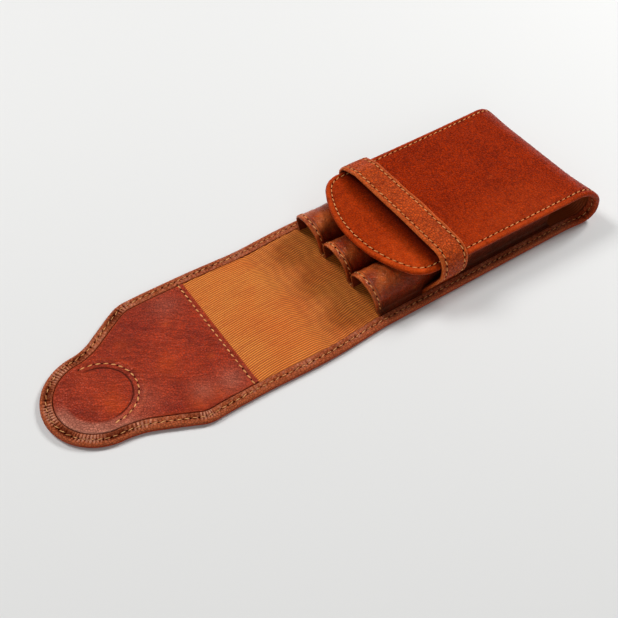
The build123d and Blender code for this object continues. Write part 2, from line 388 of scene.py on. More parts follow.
@dataclass
class Shell:
    """Points and faces of a piece while it is made, with marks that its material reads.

    The mark wear is 1 where the leather is rubbed pale, and also where a painted sheen is laid;
    crease is 1 where it is dark, mostly painted shade in folds, grooves, gaps and under other parts,
    and on hidden faces; and inner is 1 on its turned-in side, which is duller, and on the facing
    it carries a painted sheen.
    """

    points: list[Array] = field(default_factory=list)
    faces: list[tuple[int, ...]] = field(default_factory=list)
    wear: list[Array] = field(default_factory=list)
    crease: list[Array] = field(default_factory=list)
    inner: list[Array] = field(default_factory=list)
    count: int = 0

    def add(
        self, points: Array, faces: Sequence[Sequence[int]],
        wear: Array | float = 0.0, crease: Array | float = 0.0, inner: Array | float = 0.0,
    ) -> None:
        """Adds points with their faces and marks.

        Args:
            points: Rows of x, y and z in millimetres.
            faces: Faces, as numbers of these points counted from 0.
            wear: Mark of wear at each point, or one for all.
            crease: Mark of creases.
            inner: Mark of the turned-in side.
        """
        size = len(points)
        self.points.append(np.asarray(points, float))
        for kept, mark in ((self.wear, wear), (self.crease, crease), (self.inner, inner)):
            mark = np.asarray(mark, float)
            kept.append(np.full(size, float(mark)) if mark.ndim == 0 else mark.ravel())
        self.faces += [tuple(int(i) + self.count for i in face) for face in faces]
        self.count += size

    def wall(self, run: Sequence[int], gap: int) -> None:
        """Adds faces between a run of points and the points that come a gap later in the list."""
        self.faces += [(a, b, b + gap, a + gap) for a, b in zip(run, run[1:])]

    def finish(self, name: str, sharp: float = 55.0) -> bpy.types.Object:
        """Joins the points that meet, closes the open ends and makes the object.

        Args:
            name: Name of the piece.
            sharp: Edges that turn by more than this many degrees stay crisp.

        Returns:
            The object, at the origin, in metres.
        """
        mesh = bpy.data.meshes.new(name)
        mesh.from_pydata((np.vstack(self.points) * MM).tolist(), [], self.faces)
        for mark in ("wear", "crease", "inner"):
            values = np.concatenate(getattr(self, mark)).astype(np.float32)
            mesh.attributes.new(mark, "FLOAT", "POINT").data.foreach_set("value", values)
        bm = bmesh.new()
        bm.from_mesh(mesh)
        bmesh.ops.remove_doubles(bm, verts=bm.verts, dist=WELD)
        bmesh.ops.dissolve_degenerate(bm, edges=bm.edges, dist=WELD / 2)
        loose = [v for v in bm.verts if not v.link_faces]
        bmesh.ops.delete(bm, geom=loose, context="VERTS")
        open_edges = [e for e in bm.edges if e.is_boundary]
        if open_edges:
            caps = bmesh.ops.holes_fill(bm, edges=open_edges, sides=0)["faces"]
            bmesh.ops.triangulate(bm, faces=caps)
        bmesh.ops.recalc_face_normals(bm, faces=bm.faces)
        limit = math.radians(sharp)
        for face in bm.faces:
            face.smooth = True
        for edge in bm.edges:
            if len(edge.link_faces) == 2 and edge.calc_face_angle(0) > limit:
                edge.smooth = False
        left_open = sum(e.is_boundary for e in bm.edges)
        bm.to_mesh(mesh)
        bm.free()
        log.info("%s: %d faces, %d open edges", name, len(mesh.polygons), left_open)
        return added(name, mesh)


def fill(ring: Array, inner: Array) -> tuple[Array, list[tuple[int, ...]]]:
    """Flat triangles inside a ring that also use the inner points.

    Args:
        ring: The ring's points in order, with the shape on their left.
        inner: Points inside the ring.

    Returns:
        The points and the triangles.
    """
    points = [Vector(p) for p in np.vstack([ring, inner]).tolist()]
    edges = [(i, (i + 1) % len(ring)) for i in range(len(ring))]
    found, _, faces, *_ = delaunay_2d_cdt(points, edges, [], 1, 1e-5)
    return np.array([tuple(p) for p in found]), [tuple(f) for f in faces]


def inside(points: Array, ring: Array, clear: float) -> Array:
    """Picks the points that lie inside a ring.

    Args:
        points: Rows of two coordinates.
        ring: The ring's points in order.
        clear: Least distance from the ring's points.

    Returns:
        The points that lie inside and are clear of the ring.
    """
    x, y = points.T
    within = np.zeros(len(points), bool)
    for (x0, y0), (x1, y1) in zip(ring, np.roll(ring, -1, axis=0)):
        crosses = (y0 > y) != (y1 > y)
        with np.errstate(divide="ignore", invalid="ignore"):
            within ^= crosses & (x < (x1 - x0) * (y - y0) / (y1 - y0) + x0)
    points = points[within]
    near = np.full(len(points), np.inf)
    block = 64
    for start in range(0, len(ring), block):
        gaps = points[:, None, :] - ring[None, start:start + block, :]
        near = np.minimum(near, np.linalg.norm(gaps, axis=2).min(axis=1))
    return points[near > clear]


def grid(xs: Array, ys: Array) -> Array:
    """All crossings of two sets of lines."""
    gx, gy = np.meshgrid(xs, ys, indexing="ij")
    return np.column_stack([gx.ravel(), gy.ravel()])


def strip_faces(rows: int, columns: int, around: bool = False) -> list[tuple[int, int, int, int]]:
    """Four-sided faces of a net of points.

    Args:
        rows: Number of rows.
        columns: Number of points in a row.
        around: Whether the last column joins the first.

    Returns:
        The faces, with the points numbered row by row.
    """
    faces = []
    last = columns if around else columns - 1
    for i in range(rows - 1):
        for k in range(last):
            n = (k + 1) % columns
            faces.append((i * columns + k, (i + 1) * columns + k, (i + 1) * columns + n, i * columns + n))
    return faces


def stations(stops: Sequence[tuple[float, float]]) -> Array:
    """Places along a run.

    Args:
        stops: Where each stretch starts and the spacing in it. The last pair ends the run.

    Returns:
        The places, both ends included.
    """
    places = []
    for (start, step), (end, _) in zip(stops, stops[1:]):
        places.append(np.linspace(start, end, max(1, round((end - start) / step)), endpoint=False))
    return np.concatenate(places + [[stops[-1][0]]])


# Outer leather


@dataclass
class OuterStrip:
    """The long strip of outer leather, with its edge turned in over the lining all round.

    The two faces start at ring, measured in from the edge. Pleats are the gathers of the turned
    edge, pucker is its unevenness, and cover_puff is how much the cover is rounded.
    """

    ring: float = 6.5
    pleat_pitch: float = 1.5
    pleat_height: float = 0.70
    pucker: float = 0.16
    cover_puff: float = 0.35

    def profile(self) -> Array:
        """Section of the turned edge.

        Returns:
            Rows of inset from the edge, depth below the outer face, wear and crease.
        """
        return np.array([
            (self.ring, 0.00, 0.00, 0.0),
            (4.60, 0.00, 0.00, 0.0),
            (3.20, 0.03, 0.00, 0.1),
            (2.85, 0.09, 0.00, 0.4),
            (2.60, 0.15, 0.00, 0.6),
            (2.35, 0.09, 0.05, 0.4),
            (2.00, 0.02, 0.15, 0.1),
            (1.45, 0.00, 0.35, 0.0),
            (0.90, 0.07, 0.45, 0.0),
            (0.45, 0.30, 0.55, 0.0),
            (0.15, 0.65, 0.60, 0.0),
            (0.00, 1.15, 0.50, 0.1),
            (0.08, 1.65, 0.35, 0.0),
            (0.35, 2.10, 0.20, 0.0),
            (0.85, 2.42, 0.15, 0.0),
            (1.45, 2.54, 0.10, 0.0),
            (2.00, 2.52, 0.10, 0.1),
            (2.35, 2.44, 0.00, 0.4),
            (2.60, 2.38, 0.00, 0.6),
            (2.90, 2.45, 0.00, 0.3),
            (3.40, 2.55, 0.05, 0.0),
            (4.10, 2.58, 0.15, 0.0),
            (4.60, 2.54, 0.30, 0.0),
            (4.90, 2.36, 0.20, 0.4),
            (5.02, 2.05, 0.00, 1.0),
            (5.06, 1.20, 0.00, 1.0),
            (self.ring, 1.20, 0.0, 1.0),
        ])

    def pleats(self, outline: Outline) -> tuple[Array, Array]:
        """Gathers of the turned edge.

        Args:
            outline: Edge of the strip.

        Returns:
            How strongly the edge is gathered at each point, and the height of its folds from 0 to 1.
        """
        x, y = outline.points.T
        tip_x = LAYOUT.x_tip
        end = 1 - smooth(tip_x + 24, tip_x + 33, x)
        near = 0.55 + 0.45 * (1 - smooth(-12, 14, y))
        shoulder = hump(tip_x + 48, 9, x)
        faint = 0.16 + 0.10 * np.sin(outline.run / 7.3)
        strength = np.clip(end * near + 0.7 * shoulder + faint, 0, 1)
        drift = 0.9 * np.sin(outline.run / 5.1) + 0.6 * np.sin(outline.run / 2.3 + 1)
        folds = np.abs(np.sin(math.pi * outline.run / self.pleat_pitch + drift)) ** 0.7
        uneven = 0.65 + 0.35 * np.sin(outline.run / 3.7 + 2)
        return strength, folds * uneven

    def half(self, name: str, edge: Array, along: Array, across: float) -> bpy.types.Object:
        """One of the strip's two pieces.

        Args:
            name: Name of the piece.
            edge: Its edge, from the split round to the split.
            along: Places along the strip where its faces have lines of points.
            across: Spacing of those points across the strip.

        Returns:
            The object.
        """
        lay = LAYOUT
        outline = Outline(edge)
        inset, depth, wear, crease = self.profile().T
        strength, folds = (values[:, None] for values in self.pleats(outline))
        on_face, turned_in = depth < 0.5, depth > 2.0
        gather = smooth(0.9, 1.8, inset) * (1 - smooth(4.3, 5.02, inset)) * turned_in
        flat = outline.points[:, None, :] + outline.inward[:, None, :] * inset[None, :, None]
        t, y = flat[..., 0], flat[..., 1]
        height = np.broadcast_to(depth, t.shape).copy()
        # Gathers, the pull of the stitches and the crumpled turn, as depth.
        lift = strength * (folds - 0.62) * self.pleat_height
        stitched = np.cos(2 * math.pi * outline.run / lay.stitch_pitch)[:, None]
        tug = stitched * hump(lay.seam_inset, 2.2, inset)
        crumple = ripple(t, y, 3.3, 6.0) + 0.8 * ripple(t, y, 1.9, 2.0)
        height += gather * (lift + self.pucker * (0.5 * tug + 0.45 * crumple))
        height -= 0.05 * tug * on_face * smooth(1.0, 1.8, inset)
        height += self.swell(t, y)
        # Painted shade between the gathers and in the crumple's hollows, rubbed on top of them; on the cover,
        # wear with a painted sheen and the strap's painted shadow.
        valley = np.clip(strength * (0.60 - folds) * 3.4, 0, 1) * gather
        ridge = np.clip(strength * (folds - 0.50) * 3.2, 0, 1) * gather
        low = np.clip(-0.6 * crumple, 0, 0.5) * gather
        high = 0.35 * np.clip(crumple, 0, 1) * gather
        used = 0.4 + 0.6 * smooth(lay.cover_from - 4, lay.cover_from + 4, t)
        lightened, soil_and_shade = (mark * on_face for mark in self.face_marks(t, y))
        round_bend = smooth(lay.x_back_end - 12, lay.x_back_end + 4, t)
        shell = Shell()
        shell.add(
            lay.roll(flat, height), strip_faces(*t.shape),
            np.clip(wear * used + 0.9 * ridge + high + lightened, 0, 1),
            np.clip(crease + 0.85 * valley + 0.45 * low + soil_and_shade, 0, 1),
            smooth(1.0, 2.2, depth) * (1 - 0.65 * round_bend),
        )
        self.panels(shell, flat, along, across)
        return shell.finish(name)

    def swell(self, t: Array, y: Array) -> Array:
        """How much deeper than a flat sheet the strip lies, which rounds the cover a little."""
        on_cover = smooth(LAYOUT.cover_from - 4, LAYOUT.cover_from + 10, t)
        crown = (np.abs(y) / LAYOUT.half_width) ** 3
        uneven = 0.10 * ripple(t, y, 31.0, 3.0)
        return on_cover * (self.cover_puff * crown + uneven)

    def face_marks(self, t: Array, y: Array) -> tuple[Array, Array]:
        """Marks on the cover: wear with a painted sheen, and a painted shadow.

        Args:
            t: Places along the strip.
            y: Places across it.

        Returns:
            How much it is lightened by wear and a painted sheen, most of all at its tip, and how dark the
            painted shadow under the strap is.
        """
        lay = LAYOUT
        near = 1 - smooth(-32, 0, y)
        at_tip = smooth(lay.tip_along - 24, lay.tip_along - 14, t)
        # Wear and a painted sheen, on the near side and most of all at the tip.
        handling_and_sheen = 0.3 * near + at_tip * (0.30 + 0.25 * near)
        lightened = smooth(lay.cover_from, lay.cover_from + 20, t) * handling_and_sheen
        # Painted shadow under the strap, reaching further on its tip side.
        under = 1 - smooth(5.0, 8.4, np.abs(t - lay.along_cover(lay.x_strap) - 1.2))
        return lightened * (1 - under), 0.85 * under

    def panels(self, shell: Shell, flat: Array, along: Array, across: float) -> None:
        """Adds the outer face and the floor of the pocket, inside the turned edge.

        Args:
            shell: The piece that is being made.
            flat: Flat points of the turned edge, whose first column is the ring that both faces meet.
            along: Places along the strip where the faces have lines of points.
            across: Spacing of those points across the strip.
        """
        lay = LAYOUT
        ring = flat[:, 0, :]
        rows = np.arange(-lay.half_width, lay.half_width + 0.1, across)
        cut = line(ring[-1], ring[0], across)[1:-1]
        loop = np.vstack([ring, cut])
        points, faces = fill(loop, inside(grid(along, rows), loop, 0.45 * across))
        t, y = points.T
        swell = self.swell(t, y)
        for base in (0.0, lay.skin):
            # The outer face takes the wear, the painted sheen and the strap's painted shadow; the floor below
            # is dark.
            lightened, soil_and_shade = (0.0, 1.0) if base else self.face_marks(t, y)
            shell.add(lay.roll(points, base + swell), faces, lightened, soil_and_shade, float(base > 0))

    def build(self) -> list[bpy.types.Object]:
        """Both pieces of the strip, which meet halfway along the spine."""
        lay = LAYOUT
        fold_2, fold_1 = lay.x_fold_2, lay.x_fold_1
        tongue = stations([
            (lay.x_tip + 1, 2.2), (fold_2 - 5, 0.6), (fold_2 + 5, 1.5), (lay.split, 0),
        ])
        body = stations([
            (lay.split, 1.5), (fold_1 - 5, 0.6), (fold_1 + 5, 2.4), (lay.x_back_end - 2, 0.9),
            (lay.cover_from + 2, 2.4), (lay.tip_along - 1, 0),
        ])
        return [
            self.half("outer_tongue", tongue_edge(0.30), tongue[:-1], 2.4),
            self.half("outer_body", body_edge(0.55), body[1:], 2.4),
        ]


@dataclass
class BendStay:
    """Soft stay inside the bend, which keeps it round."""

    half: float = 30.7
    top: float = 1.79
    bottom: float = 1.21
    lines: int = 30

    def build(self) -> bpy.types.Object:
        """The stay as one closed plate."""
        lay = LAYOUT
        rows = columns = self.lines
        size = rows * columns
        along = np.linspace(lay.x_back_end, lay.cover_from, rows)
        flat = grid(along, np.linspace(-self.half, self.half, columns))
        shell = Shell()
        for height in (self.bottom, self.top):
            shell.add(lay.roll(flat, height), strip_faces(rows, columns))
        rim = list(range(0, size, columns))
        rim += range(size - columns + 1, size)
        rim += range(size - columns - 1, 0, -columns)
        rim += range(columns - 2, 0, -1)
        shell.wall(rim + rim[:1], size)
        return shell.finish("bend_stay_felt")


# Lining


@dataclass
class Lining:
    """Ribbed cloth that lines the strip inside its turned edge."""

    rib_pitch: float = 1.0
    rib_height: float = 0.24
    per_rib: int = 4
    bottom: float = 1.82
    edge: float = 30.95

    def half_at(self, t: Array) -> Array:
        """Half of the cloth's width, which follows the rounded tip of the cover."""
        lay = LAYOUT
        outline = Outline(body_edge(0.75))
        low = outline.inset(lay.rim_width + 0.1)
        low = low[low[:, 1] < 0]
        beyond = low[low[:, 0] > lay.cover_from]
        return np.where(t <= lay.cover_from, self.edge, np.interp(t, beyond[:, 0], -beyond[:, 1]))

    def half(self, name: str, along: Array) -> bpy.types.Object:
        """One of the cloth's two pieces.

        Args:
            name: Name of the piece.
            along: Places along the strip where it has lines of points.

        Returns:
            The object.
        """
        lay = LAYOUT
        count = round(2 * self.edge / self.rib_pitch) * self.per_rib
        beyond = np.arange(1, 3 * self.per_rib + 1) * self.rib_pitch / self.per_rib
        y0 = np.concatenate([np.linspace(-self.edge, self.edge, count + 1), self.edge + beyond])
        t, y = np.meshgrid(along, y0, indexing="ij")
        half = self.half_at(along)[:, None]
        rib = np.broadcast_to(0.5 + 0.5 * np.cos(2 * math.pi * y0 / self.rib_pitch), t.shape)
        # The ribs waver by the mouths, dip at the first fold and turn toward the facing's seam.
        near_mouth = smooth(-24, -14, t) * (1 - smooth(8, 14, t))
        wave = np.sin(t / 0.75 + 1.6 * np.sin(y / 4.5) + 0.8 * np.sin(y / 1.7))
        sleeve = 2 * math.pi * y / SleevePanel.pitch
        bulge = np.clip(np.cos(sleeve), 0, 1)
        line_x = lay.x_fold_1 + 1.2 * np.sin(y / 7.0 + 0.6)
        dip = smooth(line_x - 4.0, line_x + 2.5, t) * (1 - smooth(line_x + 4.0, line_x + 22.0, t))
        pulled = np.clip((-27.0 - t) / 24.0, 0, 1) ** 2.4
        y = y + near_mouth * (0.11 * wave + 0.5 * np.sin(sleeve) * smooth(-16, 6, t))
        y = y - 1.6 * dip - 2.2 * pulled + 0.10 * ripple(t, y, 24.0, 8.0)
        y = np.clip(y, -half, half)
        # Height of the cloth's face, which comes down to its floor along the edge.
        fold = hump(lay.x_fold_1, 2.4, t) + hump(lay.x_fold_2, 2.4, t)
        top = lay.lining_top - 0.08 + self.rib_height * (rib - 0.5)
        top = top - 0.04 * fold - 0.10 * dip + near_mouth * (0.04 * wave + 0.12 * bulge)
        top = top + 0.05 * ripple(t, y, 17.0, 5.0)
        at_edge = np.abs(y) >= half * (1 - 1e-6)
        top = np.where(at_edge, self.bottom + 0.05, top)
        # Painted shade: the valley mark darkens the rib hollows, the cloth before the sleeves' mouths, and
        # the cloth inside the bend and under the cover.
        in_bend = smooth(lay.x_back_end - 34, lay.x_back_end - 8, t)
        valley = np.clip((1 - rib) ** 1.35 + 0.14 * near_mouth * (1 + 0.5 * wave) + in_bend, 0, 1)
        swell = OuterStrip().swell(t, y)
        rows, columns = t.shape
        size = rows * columns
        shell = Shell()
        for base, wear, crease in ((top, rib, valley), (self.bottom, 0.0, 1.0)):
            place = lay.roll(np.stack([t, y], axis=-1), base + swell)
            shell.add(place, strip_faces(rows, columns), wear, crease)
        for side in (0, columns - 1):
            shell.wall(range(side, size, columns), size)
        return shell.finish(name, 80.0)

    def build(self) -> list[bpy.types.Object]:
        """Both pieces of the cloth."""
        lay = LAYOUT
        fold_2, fold_1 = lay.x_fold_2, lay.x_fold_1
        tip = lay.tip_along - lay.rim_width - 0.3
        tongue = stations([(fold_2 - 13.6, 2.0), (fold_2 - 4, 0.7), (fold_2 + 4, 1.4), (lay.split, 0)])
        body = stations([
            (lay.split, 1.4), (fold_1 - 4, 0.8), (fold_1 + 4, 0.9), (12, 6.0), (100, 3.0),
            (lay.x_back_end - 1, 1.1), (lay.cover_from + 1, 6.0), (tip - 16, 1.6), (tip, 0),
        ])
        return [self.half("lining_flap", tongue), self.half("lining_back", body)]


# Facing of the tongue


@dataclass
class Facing:
    """Leather facing on the tongue, with the stiff disc showing through it.

    It starts at x_edge and stays a gap inside the strip's edge. Its straight seam lies seam_gap in
    from x_edge. The crescent seam runs between the disc and a ridge at outer_radius.
    """

    x_edge: float = -50.25
    gap: float = 5.16
    bottom: float = 1.85
    disc_radius: float = 12.8
    seam_radius: float = 15.0
    outer_radius: float = 17.3
    seam_gap: float = 2.2
    seam_half: float = 29.8
    seam_start: float = -90.0
    seam_end: float = 90.0
    rubbed: Spots = (
        (-101.7, -1.0, 6.5, 0.28), (-102.5, -8.0, 4.5, 0.50), (-105.5, 12.5, 5.0, 0.28),
        (-66.7, 15.1, 1.6, 0.75), (-59.6, -9.4, 1.5, 0.80), (-76.1, -3.3, 5.0, 0.50),
        (-76.4, -26.5, 5.0, 0.55), (-66.1, -28.0, 5.5, 0.50), (-86.0, 16.0, 4.0, 0.30),
    )
    # Spots of painted sheen on the facing.
    painted_sheen_spots: Spots = (
        (-118.5, -9.5, 6.5, 1.0), (-112.5, -16.5, 6.5, 1.0), (-122.0, -2.0, 4.5, 0.7),
        (-103.0, -20.0, 6.0, 0.7), (-58.5, -24.0, 5.5, 0.50), (-71.5, -21.5, 5.0, 0.35),
        (-92.0, -12.0, 7.0, 0.25), (-62.0, 24.0, 7.0, 0.25),
    )

    @property
    def middle(self) -> Array:
        """Middle of the disc."""
        return np.array([LAYOUT.x_tip + LAYOUT.end_radius, 0.0])

    @property
    def x_seam(self) -> float:
        """Station of the straight seam."""
        return self.x_edge - self.seam_gap

    def polar(self, points: Array) -> tuple[Array, Array]:
        """Place of points round the disc.

        Args:
            points: Rows of x and y.

        Returns:
            Their distance from the disc's middle, and 1 where the crescent seam runs, falling to 0 past it.
        """
        offset = points - self.middle
        angle = np.degrees(np.arctan2(offset[:, 1], offset[:, 0]))
        ends = smooth(self.seam_start - 10, self.seam_start + 12, angle) * (
            1 - smooth(self.seam_end - 12, self.seam_end + 10, angle)
        )
        return np.linalg.norm(offset, axis=1), ends

    def surface(self, points: Array) -> tuple[Array, Array, Array]:
        """Height of the facing's face, with its wear and creases.

        Args:
            points: Rows of x and y.

        Returns:
            The heights, the wear and the creases.
        """
        x, y = points.T
        radius, arc_part = self.polar(points)
        # Round the disc: the pressed edge, the crescent seam and the ridges beside it.
        pressed = hump(self.disc_radius, 0.40, radius) * arc_part
        sewn = hump(self.seam_radius, 0.8, radius) * arc_part
        ridge = hump(self.outer_radius, 1.1, radius) * arc_part
        between = hump((self.disc_radius + self.seam_radius) / 2, 1.2, radius) * arc_part
        raised = 1 - smooth(self.disc_radius - 2.5, self.disc_radius + 0.5, radius)
        # Along the straight edge: the seam, the pull of its stitches and the folded edge.
        seam = hump(self.x_seam, 0.7, x)
        edge = hump(self.x_edge - 0.7, 1.1, x)
        tug = np.cos(2 * math.pi * y / LAYOUT.stitch_pitch) * hump(self.x_seam, 2.6, x)
        lines = self.wrinkle(x, y)
        height = LAYOUT.facing_top + 0.05 * ripple(x, y, 23.0, 2.0) + 0.03 * ripple(x, y, 9.0, 5.0)
        height = height + 0.18 * raised - 0.30 * pressed - 0.15 * sewn + 0.16 * ridge + 0.14 * between
        height = height - 0.12 * seam + 0.05 * tug + 0.16 * edge + 0.06 * lines
        wear = 0.35 * ridge + 0.12 * np.clip(lines, 0, 1) + spots(x, y, self.rubbed)
        crease = 1.7 * pressed + 0.45 * sewn + 0.25 * seam + 0.22 * np.clip(-lines, 0, 1)
        return height, np.clip(wear, 0, 1), np.clip(crease, 0, 1)

    def painted_sheen(self, points: Array) -> Array:
        """Where the facing carries a painted sheen, outside the disc."""
        radius, _ = self.polar(points)
        pale = np.clip(spots(*points.T, self.painted_sheen_spots), 0, 1)
        return pale * smooth(self.disc_radius - 0.6, self.disc_radius + 1.2, radius)

    def wrinkle(self, x: Array, y: Array) -> Array:
        """Fine parallel wrinkles that come and go over the facing."""
        u = 0.56 * x + 0.83 * y
        v = 0.83 * x - 0.56 * y
        bent = u + 0.9 * np.sin(v / 5.0) + 0.35 * np.sin(v / 1.9 + u / 3.0)
        wave = np.sin(2 * math.pi * bent / 1.7) + 0.6 * np.sin(2 * math.pi * bent / 2.9 + v / 2.6)
        patch = np.clip(ripple(x, y, 26.0, 7.0) + 0.35, 0, 1) * smooth(-126, -112, x)
        return wave * patch

    def build(self) -> bpy.types.Object:
        """The facing as one closed piece."""
        outline = Outline(tongue_edge(0.45))
        edge = outline.inset(self.gap)
        edge = edge[edge[:, 0] < self.x_edge]
        half = abs(edge[0, 1])
        side = line((self.x_edge, -half), (self.x_edge, half), 0.6)
        closed = Outline(np.vstack([edge, side]), closed=True)
        section = np.array([
            (2.0, self.bottom, 0.0, 1.0),
            (0.02, self.bottom, 0.0, 1.0),
            (0.00, 2.12, 0.0, 0.9),
            (0.08, 2.34, 0.3, 0.5),
            (0.28, 2.52, 0.5, 0.2),
            (0.60, 0.0, 0.3, 0.0),
            (1.10, 0.0, 0.1, 0.0),
            (2.0, 0.0, 0.0, 0.0),
        ])
        inset, depth, wear, crease = section.T
        flat = closed.points[:, None, :] + closed.inward[:, None, :] * inset[None, :, None]
        flat[..., 0] = np.minimum(flat[..., 0], self.x_edge)
        rows, columns = flat.shape[:2]
        plain = flat.reshape(-1, 2)
        depth, wear, crease = (
            np.broadcast_to(value, (rows, columns)).ravel() for value in (depth, wear, crease)
        )
        on_top = depth == 0
        top, top_wear, top_crease = self.surface(plain)
        last = (rows - 1) * columns
        faces = strip_faces(rows, columns)
        faces += [(last + k, k, k + 1, last + k + 1) for k in range(columns - 1)]
        shell = Shell()
        # The facing's inner mark carries its painted sheen.
        shell.add(
            LAYOUT.roll(plain, np.where(on_top, top, depth)), faces,
            np.maximum(wear, on_top * top_wear), np.maximum(crease, on_top * top_crease), self.painted_sheen(plain),
        )
        inner = flat[:, -1, :]
        found, triangles = fill(inner, inside(self.points_within(), inner, 0.25))
        height, wear, crease = self.surface(found)
        shell.add(LAYOUT.roll(found, height), triangles, wear, crease, self.painted_sheen(found))
        found, triangles = fill(flat[:, 0, :], np.zeros((0, 2)))
        shell.add(LAYOUT.roll(found, self.bottom), triangles, 0.0, 1.0)
        return shell.finish("tongue_facing_leather")

    def seam_lines(self) -> list[tuple[str, Lines, str]]:
        """Name, lines and thread node of the seam across the facing and of the crescent."""
        across = line((self.x_seam, -self.seam_half), (self.x_seam, self.seam_half), 0.8)
        angle = np.radians(np.linspace(self.seam_start, self.seam_end, 90))
        bow = self.middle + self.seam_radius * circle(angle)
        found = []
        for name, flat, node in (("facing", across, "facing_thread"), ("crescent", bow, "crescent_thread")):
            height, _, _ = self.surface(flat)
            found.append((name, [(LAYOUT.roll(flat, height), np.tile(UP, (len(flat), 1)))], node))
        return found

    def points_within(self) -> Array:
        """Points inside the facing: a grid, and rings that follow the disc and the seams."""
        half, spacing = 34.0, 0.62
        plain = grid(np.arange(LAYOUT.x_tip, self.x_edge, spacing), np.arange(-half, half, spacing))
        radius, _ = self.polar(plain)
        off_seam = np.abs(plain[:, 0] - self.x_seam) > 1.1
        plain = plain[((radius < 11.0) | (radius > 18.8)) & off_seam]
        rings = [
            11.4, 12.0, 12.35, 12.6, 12.8, 13.0, 13.3, 13.8, 14.4,
            14.75, 15.0, 15.25, 15.7, 16.3, 16.9, 17.3, 17.8, 18.4,
        ]
        angle = np.radians(np.arange(0, 360, 2.4))
        round_disc = np.vstack([self.middle + radius * circle(angle) for radius in rings])
        sewn = grid(self.x_seam + np.array([-0.8, -0.4, 0.0, 0.4, 0.8]), np.arange(-half, half, 0.9))
        return np.vstack([plain, round_disc, sewn])


# Sleeves


